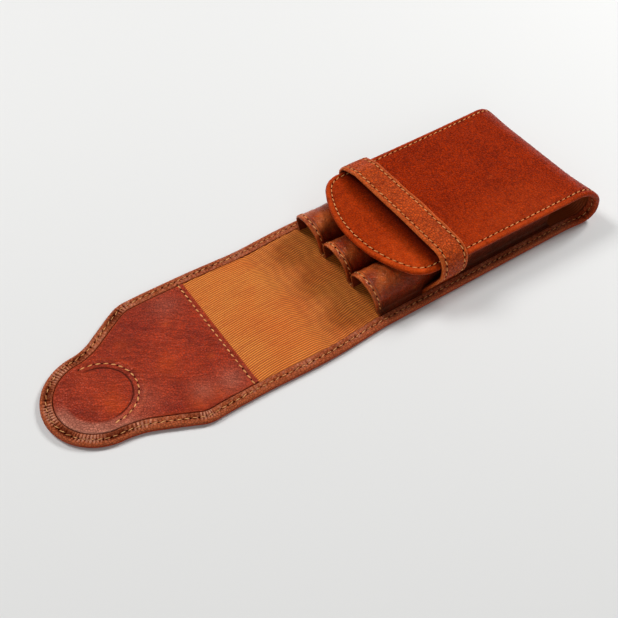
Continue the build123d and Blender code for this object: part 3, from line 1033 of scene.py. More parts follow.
@dataclass
class SleevePanel:
    """One leather panel moulded into three sleeves and sewn down between them.

    Pitch, half and top are the spacing, half width and height of the arches. Span is half of the
    panel's width, and beside the strap's feet, for notch each way, it is narrow_span. Lean is how
    far the crown of a mouth stands out past its foot, and hem is the depth of the turned hem.
    """

    x_mouth: float = 7.45
    length: float = 98.5
    pitch: float = 20.6
    half: float = 8.6
    top: float = 17.5
    leather: float = 0.9
    foot_radius: float = 1.2
    span: float = 31.0
    narrow_span: float = 29.25
    notch: float = 10.3
    lean: float = 3.4
    hem: float = 3.1
    hem_seam: float = 1.9

    def middles(self) -> list[float]:
        """Middle of each sleeve across the case."""
        return [-self.pitch, 0.0, self.pitch]

    def section(self) -> tuple[Array, Array]:
        """Outer face of the panel in section.

        Returns:
            The points across the case, and the outward direction at each.
        """
        foot = LAYOUT.lining_top + self.leather
        spring = self.top - self.half
        run = [line((-self.span, foot), (-self.pitch - self.half - self.foot_radius, foot), 0.45)]
        for middle in self.middles():
            left, right = middle - self.half, middle + self.half
            r = self.foot_radius
            run += [
                arc((left - r, foot + r), (left - r, foot), (left, foot + r), 1, 0.35),
                line((left, foot + r), (left, spring), 0.8),
                arc((middle, spring), (left, spring), (right, spring), -1, 0.7),
                line((right, spring), (right, foot + r), 0.8),
                arc((right + r, foot + r), (right, foot + r), (right + r, foot), 1, 0.35),
            ]
            if middle < self.pitch:
                run.append(line((right + r, foot), (middle + self.pitch - self.half - r, foot), 0.35))
        run.append(line((self.pitch + self.half + self.foot_radius, foot), (self.span, foot), 0.45))
        path = Outline(np.vstack(run))
        return path.points, path.inward

    def lengthwise(self) -> Array:
        """Distances from the mouth at which the panel has points."""
        near = [0.0, 0.12, 0.35, 0.7, 1.1, 1.5, 1.9, 2.3, 2.7, 3.0, 3.2, 3.45, 3.8, 4.4, 5.2, 6.2]
        return np.concatenate([near, stations([(7.5, 1.4), (30, 2.2), (self.length, 0)])])

    def shaped(self, offset: float) -> tuple[Array, Array, Array]:
        """The panel's outer face, or a face at a depth below it.

        Args:
            offset: Depth below the outer face.

        Returns:
            The points as rows along the case and columns across it, the wear and the creases.
        """
        points, outward = self.section()
        along = self.lengthwise()
        d = along[:, None]
        y, z = (np.broadcast_to(c, (len(along), len(points))).copy() for c in points.T)
        foot = LAYOUT.lining_top + self.leather
        rise = np.clip((z - foot) / (self.top - foot), 0, 1)
        # The turned hem is thicker, with a rounded lip and a seam in it.
        hem = 1 - smooth(self.hem - 0.25, self.hem + 0.35, d)
        lip = 1 - smooth(0.0, 0.7, d)
        sewn = hump(self.hem_seam, 0.5, d)
        outer = 0.30 * hem - 0.45 * lip ** 2 - 0.16 * sewn
        inner = -0.42 * hem + 0.42 * lip ** 2
        share = offset / self.leather
        thickness = -offset + (1 - share) * outer * rise ** 0.3 + share * inner * rise ** 0.5
        run = points[:, 0][None, :]
        # Soft unevenness, folds behind the hem, crinkles on the outer sides and a slack crown.
        soft = 0.20 * ripple(d, run, 21.0, 4.0) + 0.12 * ripple(d, run, 8.0, 9.0)
        wave = np.sin(2 * math.pi * (d + 1.2 * np.sin(run / 3.0)) / 3.4)
        pull = wave * smooth(3.2, 4.5, d) * (1 - smooth(9, 20, d))
        soft = (soft + 0.10 * pull) * rise
        side = smooth(27.8, 29.0, np.abs(run)) * smooth(16, 34, d)
        crinkle = ripple(d, z, 4.1, 3.0)
        soft = soft + 0.14 * side * crinkle * rise ** 0.5
        slump = -0.35 * rise ** 2 * np.sin(math.pi * np.clip(d / 30.0, 0, 1))
        y = y + outward[:, 0] * (thickness + soft)
        z = z + outward[:, 1] * (thickness + soft) + slump
        floor = LAYOUT.lining_top + 0.02
        z = np.maximum(z, floor + (self.leather - offset) * 0.9)
        x = self.x_mouth + d + self.lean * (0.5 - rise) * (1 - smooth(0, 26, d))
        limit = np.where(np.abs(x - LAYOUT.x_strap) < self.notch, self.narrow_span, self.span)
        y = np.clip(y, -limit, limit)
        # Rubbed on the lip and the hem; rubbed and a painted highlight on the crowns, less further in.
        # Painted shade behind the hem, in the gutters, in the hollows of the folds and on the outer sides
        # further in.
        crest = smooth(0.55, 1.0, rise) * (1 - 0.6 * smooth(9, 22, d))
        patchy = np.clip(0.5 + ripple(d, run, 13.0, 1.0), 0, 1)
        wear = 0.70 * lip + 0.18 * hem * (1 - sewn) + 0.62 * crest * patchy + 0.10 * np.clip(pull, 0, 1)
        shut = hump(self.hem + 0.25, 0.35, d)
        gutter = 1 - smooth(0.0, 0.45, rise)
        crease = 0.5 * sewn + 0.9 * shut + 0.62 * gutter + 0.15 * np.clip(-pull, 0, 1)
        crease = crease + side * (0.45 - 0.35 * crinkle)
        return np.stack([x, y, z], axis=-1), np.clip(wear, 0, 1), np.clip(crease, 0, 1)

    def build(self) -> bpy.types.Object:
        """The panel as one closed shell."""
        outer, wear, crease = self.shaped(0.0)
        inner, _, _ = self.shaped(self.leather)
        rows, columns = outer.shape[:2]
        size = rows * columns
        faces = strip_faces(rows, columns)
        shell = Shell()
        shell.add(outer.reshape(-1, 3), faces, wear, crease)
        shell.add(inner.reshape(-1, 3), faces, 0.0, 0.7)
        for start in (0, size - columns):
            shell.wall(range(start, start + columns), size)
        for side in (0, columns - 1):
            shell.wall(range(side, size, columns), size)
        return shell.finish("sleeve_panel_leather", 70.0)

    def hem_lines(self) -> Lines:
        """Seam round each mouth, as points and the outward direction at each."""
        outer, _, _ = self.shaped(0.0)
        row = int(np.argmin(np.abs(self.lengthwise() - self.hem_seam)))
        points, outward = self.section()
        lines = []
        for middle in self.middles():
            on_arch = (np.abs(points[:, 0] - middle) < self.half + 0.01) & (points[:, 1] > 4.6)
            normal = np.column_stack([np.zeros(on_arch.sum()), outward[on_arch]])
            lines.append((outer[row][on_arch] + normal * 0.02, normal))
        return lines

    def gutter_lines(self) -> Lines:
        """Seams that hold the panel down between the sleeves."""
        height = LAYOUT.lining_top + self.leather
        start, end = self.x_mouth + 2.2, self.x_mouth + self.length - 1.5
        lines = []
        for y in (-self.pitch / 2, self.pitch / 2):
            points = line((start, y, height), (end, y, height), 2.0)
            lines.append((points, np.tile(UP, (len(points), 1))))
        return lines


# Strap


@dataclass
class Strap:
    """Strap that crosses the cover, with both feet sewn in beside the sleeves.

    Its feet stand at foot and its sides at half, measured from the middle of the case. Its
    underside is at about the height under, and comes down on the far side. Cloth and leather are
    the thicknesses of its two layers.
    """

    width: float = 13.5
    foot_width: float = 20.0
    leather: float = 1.1
    cloth: float = 0.6
    foot: float = 29.3
    half: float = 35.54
    under: float = 24.6
    shoulder: float = 14.5
    seam: float = 2.0

    def path(self) -> tuple[Array, Array]:
        """Inner face of the strap in section, from the near foot to the far one.

        Returns:
            The points across the case, and the outward direction at each.
        """
        base = LAYOUT.lining_top
        near = [
            (-self.foot, base, 0.0), (-self.foot, base + 1.2, 4.0), (-self.half, self.shoulder, 6.5),
            (-self.half, self.under + 0.15, 6.0), (-6.0, self.under + 0.40, 60.0),
        ]
        far = [
            (25.2, self.under + 0.05, 10.0), (34.1, self.under - 2.85, 3.4), (self.half, 19.4, 3.0),
            (self.half, self.shoulder, 6.5), (self.foot, base + 1.2, 4.0), (self.foot, base, 0.0),
        ]
        path = Outline(rounded(near + far, 0.6))
        return path.points, path.inward

    def half_width(self, z: Array) -> Array:
        """Half of the strap's width at a height, wider towards its feet."""
        knee = (self.shoulder + LAYOUT.lining_top) / 2
        flare = 1 - smooth(LAYOUT.lining_top, knee + 3.5, z)
        return self.width / 2 + (self.foot_width - self.width) / 2 * flare

    def sweep(self, name: str, section: Array) -> bpy.types.Object:
        """Carries a closed section along the strap.

        Args:
            name: Name of the piece.
            section: Rows of place across the strap (-1 to 1), inset from its edge, height, wear and crease.

        Returns:
            The object.
        """
        points, outward = self.path()
        side, inset, height, wear, crease = section.T
        half = self.half_width(points[:, 1])[:, None]
        run = np.concatenate([[0], np.cumsum(np.linalg.norm(np.diff(points, axis=0), axis=1))])
        waver = 0.14 * np.sin(run / 6.1) + 0.10 * np.sin(run / 2.7 + 1.0)
        x = LAYOUT.x_strap + side * (half - inset) + waver[:, None] * (0.6 + 0.4 * side)
        crown = 0.10 * (1 - side ** 2) * (height > 0.9)
        out = height + crown
        y = points[:, :1] + outward[:, :1] * out
        z = points[:, 1:] + outward[:, 1:] * out
        # Painted shade low on the feet, where they go down beside the sleeves under the cover's edge, with
        # less rubbing there.
        low_down = 1 - smooth(3.0, 12.0, points[:, 1:])
        shell = Shell()
        shell.add(
            np.column_stack([x.ravel(), y.ravel(), z.ravel()]), strip_faces(*x.shape, around=True),
            np.clip(wear * (1 - low_down), 0, 1), np.clip(crease + 0.55 * low_down, 0, 1),
        )
        return shell.finish(name, 65.0)

    def build(self) -> list[bpy.types.Object]:
        """The strap's outer leather and its inner leather."""
        low, high = self.cloth, self.cloth + self.leather
        right = [
            (0.0, 0.0, high, 0.0, 0.0), (0.5, 2.0, high, 0.0, 0.0), (1.0, 2.9, high - 0.01, 0.0, 0.0),
            (1.0, 2.35, high - 0.05, 0.0, 0.3), (1.0, 2.0, high - 0.12, 0.0, 0.55),
            (1.0, 1.65, high - 0.05, 0.1, 0.3), (1.0, 1.2, high, 0.3, 0.0),
            (1.0, 0.7, high - 0.04, 0.5, 0.0), (1.0, 0.3, high - 0.18, 0.8, 0.0),
            (1.0, 0.06, high - 0.48, 1.0, 0.0), (1.0, 0.0, high - 0.8, 1.0, 0.0),
            (1.0, 0.06, low - 0.05, 0.8, 0.2), (1.0, 0.35, low - 0.12, 0.4, 0.4),
            (1.0, 0.9, low, 0.0, 0.9),
        ]
        left = [(-s, i, h, w, c) for s, i, h, w, c in reversed(right)]
        outer = np.array(left[:-1] + right)
        lining = np.array([
            (-1.0, 0.6, 0.02, 0.2, 0.0), (-1.0, 0.45, 0.18, 0.3, 0.2), (-1.0, 0.6, low + 0.05, 0.0, 0.8),
            (0.0, 0.0, low + 0.05, 0.0, 0.8), (1.0, 0.6, low + 0.05, 0.0, 0.8),
            (1.0, 0.45, 0.18, 0.3, 0.2), (1.0, 0.6, 0.02, 0.2, 0.0), (1.0, 1.2, 0.0, 0.0, 0.0),
            (0.0, 0.0, 0.0, 0.0, 0.0), (-1.0, 1.2, 0.0, 0.0, 0.0),
        ])
        return [self.sweep("strap_outer", outer), self.sweep("strap_inner", lining)]

    def seam_lines(self) -> Lines:
        """The strap's two seams, as points and the outward direction at each."""
        points, outward = self.path()
        keep = points[:, 1] > LAYOUT.lining_top + 1.5
        points, outward = points[keep], outward[keep]
        half = self.half_width(points[:, 1])
        rise = self.cloth + self.leather - 0.10
        lines = []
        for side in (-1, 1):
            x = LAYOUT.x_strap + side * (half - self.seam)
            place = np.column_stack([x, points + outward * rise])
            lines.append((place, np.column_stack([np.zeros(len(points)), outward])))
        return lines


def rounded(corners: Sequence[tuple[float, float, float]], step: float) -> Array:
    """Path through corners, each rounded by its own radius.

    Args:
        corners: The two coordinates of each corner and its radius, 0 at the ends.
        step: Largest distance between points.

    Returns:
        The path's points. It runs so that its outer side is on the left.
    """
    p = np.array([c[:2] for c in corners], float)
    pieces = [p[:1]]
    for before, corner, after, radius in zip(p, p[1:], p[2:], [c[2] for c in corners[1:]]):
        a = (before - corner) / np.linalg.norm(before - corner)
        b = (after - corner) / np.linalg.norm(after - corner)
        half = math.acos(float(np.clip(a @ b, -1, 1))) / 2
        if math.pi / 2 - half < 1e-3:
            pieces.append(corner[None])
            continue
        reach = radius / math.tan(half)
        middle = corner + (a + b) / np.linalg.norm(a + b) * radius / math.sin(half)
        turn = 1 if a[0] * b[1] - a[1] * b[0] < 0 else -1
        pieces.append(arc(middle, corner + a * reach, corner + b * reach, turn, step))
    pieces.append(p[-1:])
    path = [pieces[0][0]]
    for piece in pieces:
        for point in piece:
            if np.linalg.norm(point - path[-1]) > step:
                path += list(line(path[-1], point, step)[1:-1])
            path.append(point)
    return np.array(path)


# Node trees


class Graph:
    """Short way to place and join the nodes of a tree."""

    def __init__(self, tree: bpy.types.NodeTree) -> None:
        """Works on one node tree."""
        self.tree = tree

    def feed(self, node: bpy.types.Node, inputs: Feeds) -> None:
        """Gives sockets of a node, by name or number, a value or the output that feeds them."""
        for name, value in inputs.items():
            socket = node.inputs[name]
            if isinstance(value, Socket):
                self.tree.links.new(value, socket)
            else:
                socket.default_value = (*value, 1.0) if socket.type == "RGBA" else value

    def node(self, kind: str, inputs: Feeds | None = None, **values: object) -> bpy.types.Node:
        """Adds a node.

        Args:
            kind: Type of the node.
            inputs: Its sockets by name or number, each with a value or the output that feeds it.
            values: Its properties.

        Returns:
            The node.
        """
        node = self.tree.nodes.new(kind)
        for name, value in values.items():
            setattr(node, name, value)
        self.feed(node, inputs or {})
        return node

    def math(self, operation: str, *values: object, clamp: bool = False) -> Socket:
        """Output of a Math node."""
        node = self.node("ShaderNodeMath", dict(enumerate(values)), operation=operation, use_clamp=clamp)
        return node.outputs[0]

    def mix(self, factor: object, a: object, b: object) -> Socket:
        """Colour between a and b."""
        return self.node("ShaderNodeMix", {"Factor": factor, 6: a, 7: b}, data_type="RGBA").outputs[2]

    def spread(
        self, value: object, low: float, high: float, to_low: float = 0.0, to_high: float = 1.0
    ) -> Socket:
        """Output of a clamped Map Range node."""
        inputs = dict(enumerate((value, low, high, to_low, to_high)))
        return self.node("ShaderNodeMapRange", inputs, interpolation_type="SMOOTHSTEP").outputs[0]

    def mark(self, name: str) -> Socket:
        """Value of a mark on the mesh."""
        return self.node("ShaderNodeAttribute", attribute_name=name).outputs["Fac"]

    def noise(self, vector: Socket, scale: object, detail: float = 2.0, roughness: float = 0.5) -> Socket:
        """Value of a Noise Texture."""
        inputs = {"Vector": vector, "Scale": scale, "Detail": detail, "Roughness": roughness}
        return self.node("ShaderNodeTexNoise", inputs).outputs[0]

    def slanted(self, vector: Socket, stretch: float) -> Socket:
        """Coordinates stretched along the leather's own lines, which run slantwise over the strip."""
        turn = (0.0, 0.0, math.radians(-35.0))
        inputs = {"Vector": vector, "Rotation": turn, "Scale": (stretch, 1.0, 1.0)}
        return self.node("ShaderNodeMapping", inputs, vector_type="TEXTURE").outputs[0]

    def bump(self, strength: float, distance: float, height: Socket) -> Socket:
        """Normal of a surface with a height."""
        inputs = {"Strength": strength, "Distance": distance, "Height": height}
        return self.node("ShaderNodeBump", inputs).outputs[0]


# Stitches


@dataclass(frozen=True)
class Stitch:
    """Size of one stitch, or of the needle hole between two, along a seam.

    Shift is how far along the seam it lies from the middle of the stitch, slant is its turn in
    radians, and uneven is how much turn and length differ from one stitch to the next.
    """

    length: float
    width: float
    rise: float
    shift: float
    slant: float
    uneven: float


THREAD = Stitch(length=2.30, width=0.46, rise=0.36, shift=0.0, slant=0.16, uneven=0.10)
FACING_THREAD = Stitch(length=2.20, width=0.64, rise=0.42, shift=0.0, slant=0.16, uneven=0.10)
RIM_THREAD = Stitch(length=2.30, width=0.38, rise=0.30, shift=0.0, slant=0.12, uneven=0.25)
HOLE = Stitch(length=0.86, width=0.68, rise=0.14, shift=1.5, slant=0.0, uneven=0.0)
RIM_HOLE = Stitch(length=0.70, width=0.50, rise=0.12, shift=1.5, slant=0.0, uneven=0.0)


class StitchTree:
    """Geometry Nodes tree that sews a row along each line of a seam."""

    def __init__(self) -> None:
        """Makes the tree with its named inputs."""
        self.tree = bpy.data.node_groups.new("seam", "GeometryNodeTree")
        face = self.tree.interface
        for side in ("OUTPUT", "INPUT"):
            face.new_socket("Geometry", in_out=side, socket_type="NodeSocketGeometry")
        kinds = dict.fromkeys(("Pitch", "Length", "Width", "Rise", "Shift", "Slant", "Uneven"), "Float")
        kinds |= {"Seed": "Int", "Material": "Material"}
        self.inputs = {
            name: face.new_socket(name, in_out="INPUT", socket_type=f"NodeSocket{kind}").identifier
            for name, kind in kinds.items()
        }
        self.wire()

    def wire(self) -> None:
        """Places and joins the nodes."""
        g = Graph(self.tree)
        given = g.node("NodeGroupInput").outputs
        curve = g.node("GeometryNodeMeshToCurve", {"Mesh": given["Geometry"]}).outputs["Curve"]
        spaced = g.node(
            "GeometryNodeResampleCurve", {"Curve": curve, "Length": given["Pitch"]}, mode="LENGTH"
        ).outputs["Curve"]
        seat = g.node("GeometryNodeInputNamedAttribute", {"Name": "seat"}, data_type="FLOAT_VECTOR")
        tangent = g.node("GeometryNodeInputTangent").outputs["Tangent"]
        along = g.node("FunctionNodeAlignRotationToVector", {"Vector": tangent}, axis="X")
        upright = g.node(
            "FunctionNodeAlignRotationToVector",
            {"Rotation": along.outputs["Rotation"], "Vector": seat.outputs["Attribute"]},
            axis="Z", pivot_axis="X",
        )
        chance = g.node("FunctionNodeRandomValue", {"Seed": given["Seed"]}, data_type="FLOAT").outputs[1]
        uneven = g.math("MULTIPLY", g.math("SUBTRACT", chance, 0.5), given["Uneven"])
        yaw = g.node("ShaderNodeCombineXYZ", {"Z": g.math("MULTIPLY_ADD", uneven, 2.0, given["Slant"])})
        euler = g.node("FunctionNodeEulerToRotation", {0: yaw.outputs[0]}).outputs[0]
        turned = g.node(
            "FunctionNodeRotateRotation", {0: upright.outputs["Rotation"], 1: euler}, rotation_space="LOCAL"
        )
        bead = g.node("GeometryNodeMeshUVSphere", {"Segments": 8, "Rings": 6, "Radius": 0.5})
        size = g.node("ShaderNodeCombineXYZ", {"X": given["Length"], "Y": given["Width"], "Z": given["Rise"]})
        shift = g.node("ShaderNodeCombineXYZ", {"X": given["Shift"]})
        shaped = g.node("GeometryNodeTransform", {
            "Geometry": bead.outputs["Mesh"], "Translation": shift.outputs[0], "Scale": size.outputs[0],
        })
        stretch = g.node("ShaderNodeCombineXYZ", {"X": g.math("ADD", uneven, 1.0), "Y": 1.0, "Z": 1.0})
        sewn = g.node("GeometryNodeInstanceOnPoints", {
            "Points": spaced, "Instance": shaped.outputs["Geometry"],
            "Rotation": turned.outputs[0], "Scale": stretch.outputs[0],
        })
        real = g.node("GeometryNodeRealizeInstances", {"Geometry": sewn.outputs["Instances"]})
        soft = g.node("GeometryNodeSetShadeSmooth", {"Geometry": real.outputs["Geometry"]})
        dressed = g.node(
            "GeometryNodeSetMaterial", {"Geometry": soft.outputs["Geometry"], "Material": given["Material"]}
        )
        g.node("NodeGroupOutput", {"Geometry": dressed.outputs["Geometry"]})

    def sew(
        self, name: str, lines: Lines, stitch: Stitch, material: bpy.types.Material, seed: int
    ) -> bpy.types.Object:
        """Sews a seam and makes it a plain mesh.

        Args:
            name: Name of the piece.
            lines: The seam's lines, each as points in millimetres and the outward direction at each.
            stitch: What to place along them.
            material: Its finish.
            seed: Seed of the small differences between stitches.

        Returns:
            The object.
        """
        points = np.vstack([p for p, _ in lines]) * MM
        seats = np.vstack([s for _, s in lines])
        edges, start = [], 0
        for line_points, _ in lines:
            edges += [(start + i, start + i + 1) for i in range(len(line_points) - 1)]
            start += len(line_points)
        mesh = bpy.data.meshes.new(name)
        mesh.from_pydata(points.tolist(), edges, [])
        mesh.attributes.new("seat", "FLOAT_VECTOR", "POINT").data.foreach_set(
            "vector", seats.astype(np.float32).ravel()
        )
        piece = added(name, mesh)
        modifier = piece.modifiers.new("seam", "NODES")
        modifier.node_group = self.tree
        values = {
            "Pitch": LAYOUT.stitch_pitch * MM, "Length": stitch.length * MM, "Width": stitch.width * MM,
            "Rise": stitch.rise * MM, "Shift": stitch.shift * MM, "Slant": stitch.slant,
            "Uneven": stitch.uneven, "Seed": seed, "Material": material,
        }
        for key, value in values.items():
            modifier[self.inputs[key]] = value
        done = bpy.data.meshes.new_from_object(
            piece.evaluated_get(bpy.context.evaluated_depsgraph_get())
        )
        piece.modifiers.remove(modifier)
        piece.data = done
        done.name = name
        bpy.data.meshes.remove(mesh)
        log.info("%s: %d faces", name, len(done.polygons))
        return piece


@dataclass
class StripSeam:
    """Seam that holds the turned edge of the strip, with the depth of its line on each face."""

    on_inner: float = 2.42
    on_outer: float = 0.11
    on_underside: float = 0.21

    def lines(self, edge: Array) -> Lines:
        """Lines of the seam.

        Args:
            edge: Edge of one piece of the strip.

        Returns:
            Its line on the turned-in side and its line on the outer side.
        """
        flat = Outline(edge).inset(LAYOUT.seam_inset)
        lifted = smooth(LAYOUT.x_back_end, LAYOUT.bend_mid, flat[:, 0])
        inner = np.full(len(flat), self.on_inner)
        outer = self.on_underside + (self.on_outer - self.on_underside) * lifted
        swell = OuterStrip().swell(*flat.T)
        found = []
        for depth, outward in ((inner, 1.0), (outer, -1.0)):
            here = LAYOUT.roll(flat, depth + swell)
            out = LAYOUT.roll(flat, depth + swell + outward * 0.5) - here
            found.append((here, out / np.linalg.norm(out, axis=1)[:, None]))
        return found


# Finishes


def new_group(
    name: str, inputs: dict[str, float | None], outputs: Sequence[str]
) -> tuple[Graph, Sequence[Socket], bpy.types.Node]:
    """Starts a shader node group.

    Args:
        name: Name of the group.
        inputs: Name and first value of each input. Without a value it is a vector.
        outputs: Names of the outputs.

    Returns:
        The group's graph, the sockets of its inputs and its output node.
    """
    tree = bpy.data.node_groups.new(name, "ShaderNodeTree")
    face = tree.interface
    for key, value in inputs.items():
        if value is None:
            face.new_socket(key, in_out="INPUT", socket_type="NodeSocketVector")
        else:
            face.new_socket(key, in_out="INPUT", socket_type="NodeSocketFloat").default_value = value
    for key in outputs:
        face.new_socket(key, in_out="OUTPUT", socket_type="NodeSocketFloat")
    graph = Graph(tree)
    return graph, graph.node("NodeGroupInput").outputs, graph.node("NodeGroupOutput")


def grain_group() -> bpy.types.NodeTree:
    """Grain of the leather: pebbles, pores and fine wrinkles as a height, and the valleys between them."""
    g, given, out = new_group(
        "leather_grain",
        {"Vector": None, "Pebble": 1100.0, "Wrinkle": 0.3, "Pores": 0.3},
        ("Height", "Valley"),
    )
    vector, reach = given["Vector"], 0.0009
    bend = g.node("ShaderNodeTexNoise", {"Vector": vector, "Scale": 160.0, "Detail": 2.0}).outputs["Color"]
    offset = g.node("ShaderNodeVectorMath", {0: bend, 1: (reach, reach, reach)}, operation="MULTIPLY")
    place = g.node("ShaderNodeVectorMath", {0: vector, 1: offset.outputs[0]}, operation="ADD").outputs[0]
    cells = g.node(
        "ShaderNodeTexVoronoi", {"Vector": place, "Scale": given["Pebble"], "Randomness": 0.9},
        feature="DISTANCE_TO_EDGE",
    ).outputs["Distance"]
    pebble = g.spread(cells, 0.0, 0.17)
    fine = g.noise(vector, 2600.0, 3.0, 0.6)
    lines = g.node("ShaderNodeTexNoise", {
        "Vector": g.slanted(place, 3.4), "Scale": 520.0, "Detail": 4.0, "Roughness": 0.55, "Distortion": 0.6,
    }).outputs[0]
    fold = g.spread(g.math("ABSOLUTE", g.math("SUBTRACT", lines, 0.5)), 0.0, 0.06)
    dots = g.node("ShaderNodeTexVoronoi", {"Vector": vector, "Scale": 760.0}).outputs["Distance"]
    total = g.math("MULTIPLY_ADD", pebble, 0.55, g.math("MULTIPLY", fine, 0.28))
    total = g.math("MULTIPLY_ADD", fold, given["Wrinkle"], total)
    total = g.math("MULTIPLY_ADD", g.spread(dots, 0.05, 0.22), given["Pores"], total)
    lined = g.math("SUBTRACT", 1.0, g.math("MULTIPLY", g.math("SUBTRACT", 1.0, fold), given["Wrinkle"]))
    valley = g.math("SUBTRACT", 1.0, g.math("MULTIPLY", pebble, lined), clamp=True)
    g.feed(out, {"Height": total, "Valley": valley})
    return g.tree


def tone_group() -> bpy.types.NodeTree:
    """Uneven dye of the leather: soft clouds and streaks, fine mottling and small flecks, from 0 to 1."""
    g, given, out = new_group(
        "uneven_dye",
        {"Vector": None, "Cloud": 38.0, "Streak": 0.35, "Mottle": 700.0},
        ("Tone", "Fleck", "Mottle"),
    )
    vector = given["Vector"]
    cloud = g.noise(vector, given["Cloud"], 4.0, 0.6)
    streak = g.noise(g.slanted(vector, 2.8), 210.0, 5.0, 0.65)
    both = g.math("MULTIPLY_ADD", g.math("SUBTRACT", streak, 0.5), given["Streak"], cloud)
    fleck = g.noise(vector, 150.0)
    fine = g.noise(vector, given["Mottle"], 3.0, 0.65)
    cell = g.node("ShaderNodeTexVoronoi", {"Vector": vector, "Scale": given["Mottle"]}).outputs["Color"]
    mottle = g.math("MULTIPLY_ADD", g.math("SUBTRACT", cell, 0.5), 0.38, fine)
    g.feed(out, {
        "Tone": g.spread(both, 0.25, 0.75), "Fleck": g.spread(fleck, 0.66, 0.76),
        "Mottle": g.spread(mottle, 0.30, 0.70),
    })
    return g.tree


def wear_group() -> bpy.types.NodeTree:
    """Rubbed edges and painted sheen: breaks the mark of wear up so that it looks worn by use, from 0 to 1.
    """
    g, given, out = new_group("edge_wear", {"Vector": None, "Wear": 0.0, "Amount": 0.8}, ("Mask",))
    patch = g.spread(g.noise(given["Vector"], 240.0, 4.0, 0.7), 0.25, 0.65, 0.35, 1.15)
    broken = g.math("MULTIPLY", given["Wear"], patch)
    g.feed(out, {"Mask": g.math("MULTIPLY", broken, given["Amount"], clamp=True)})
    return g.tree


@dataclass(frozen=True)
class Leather:
    """Finish of one leather.

    Deep and bright are the shades of its dye, rubbed is for worn places and for painted sheen, and
    dark is for the grain's valleys and the painted shade laid by the crease mark. Inner is for its
    turned-in side, on the facing for a painted sheen, and pale for worn places there. Pebble, cloud
    and mottle say how fine a pattern is. Wrinkle, pores, bump, valley, streak, clouds, mottling and
    wear say how strong one is.
    """

    name: str
    deep: Colour
    bright: Colour
    rubbed: Colour
    dark: Colour
    inner: Colour = (0.500, 0.1150, 0.0380)
    pale: Colour = (0.780, 0.3600, 0.2300)
    roughness: float = 0.42
    pebble: float = 1000.0
    wrinkle: float = 0.25
    pores: float = 0.2
    bump: float = 0.8
    valley: float = 0.45
    streak: float = 0.35
    cloud: float = 38.0
    clouds: float = 0.5
    mottling: float = 0.4
    mottle: float = 900.0
    wear: float = 0.75
    coat: float = 0.0
    specular: float = 0.22
    tint: Colour = (1.0, 0.38, 0.12)


COVER = Leather(
    "cover_leather", deep=(0.185, 0.0090, 0.0005), bright=(0.530, 0.0390, 0.0018),
    rubbed=(0.70, 0.082, 0.010), dark=(0.060, 0.0035, 0.0006), roughness=0.34, pebble=900.0, wrinkle=0.18,
    bump=1.0, valley=0.60, streak=0.2, cloud=60.0, clouds=0.25, mottling=0.52, mottle=1000.0,
    specular=0.06, tint=(1.0, 0.30, 0.06),
)
# On the facing the inner colour is its painted sheen.
FACING = Leather(
    "facing_leather", deep=(0.255, 0.0165, 0.0075), bright=(0.560, 0.0500, 0.0125),
    rubbed=(0.64, 0.072, 0.007), dark=(0.070, 0.007, 0.0035), inner=(0.620, 0.2100, 0.1350),
    roughness=0.36, wrinkle=0.6, bump=0.9, valley=0.55, streak=0.5, cloud=34.0, clouds=0.8,
    mottling=0.3, specular=0.26, tint=(1.0, 0.60, 0.45),
)
SLEEVE = Leather(
    "sleeve_leather", deep=(0.105, 0.0060, 0.0012), bright=(0.420, 0.0350, 0.0045),
    rubbed=(0.80, 0.180, 0.034), dark=(0.030, 0.0035, 0.0010), inner=(0.150, 0.0280, 0.0100),
    roughness=0.24, wrinkle=0.8, pores=0.3, cloud=60.0, clouds=0.9, mottling=0.3, coat=0.08,
    specular=0.45, tint=(1.0, 0.46, 0.20),
)
STRAP = Leather(
    "strap_leather", deep=(0.390, 0.0360, 0.0045), bright=(0.760, 0.1050, 0.0140),
    rubbed=(0.74, 0.165, 0.036), dark=(0.100, 0.012, 0.003), roughness=0.40, pebble=820.0,
    wrinkle=0.45, bump=1.0, valley=0.70, cloud=90.0, mottling=0.45, specular=0.14,
)
STRAP_INNER = Leather(
    "lining_leather", deep=(0.150, 0.018, 0.005), bright=(0.25, 0.036, 0.010),
    rubbed=(0.40, 0.085, 0.025), dark=(0.045, 0.008, 0.003), roughness=0.6,
)


@dataclass(frozen=True)
class Cloth:
    """Colours of the ribbed cloth."""

    ground: Colour = (0.98, 0.230, 0.020)
    light: Colour = (1.00, 0.320, 0.040)
    fibre: Colour = (1.00, 0.46, 0.10)
    weft: Colour = (0.46, 0.085, 0.010)
    streak: Colour = (0.50, 0.075, 0.008)
    # Valley is the painted shade of the rib hollows, before the mouths and in the bend.
    valley: Colour = (0.15, 0.016, 0.002)
    sheen: Colour = (1.0, 0.55, 0.2)


@dataclass(frozen=True)
class Yarn:
    """Colours of one sewing thread."""

    name: str
    light: Colour
    soil_and_shade: Colour
    twist: Colour = (0.50, 0.17, 0.045)


@dataclass(frozen=True)
class Stiffener:
    """Finish of a hidden board, stay or disc."""

    name: str
    dark: Colour
    light: Colour
    roughness: float


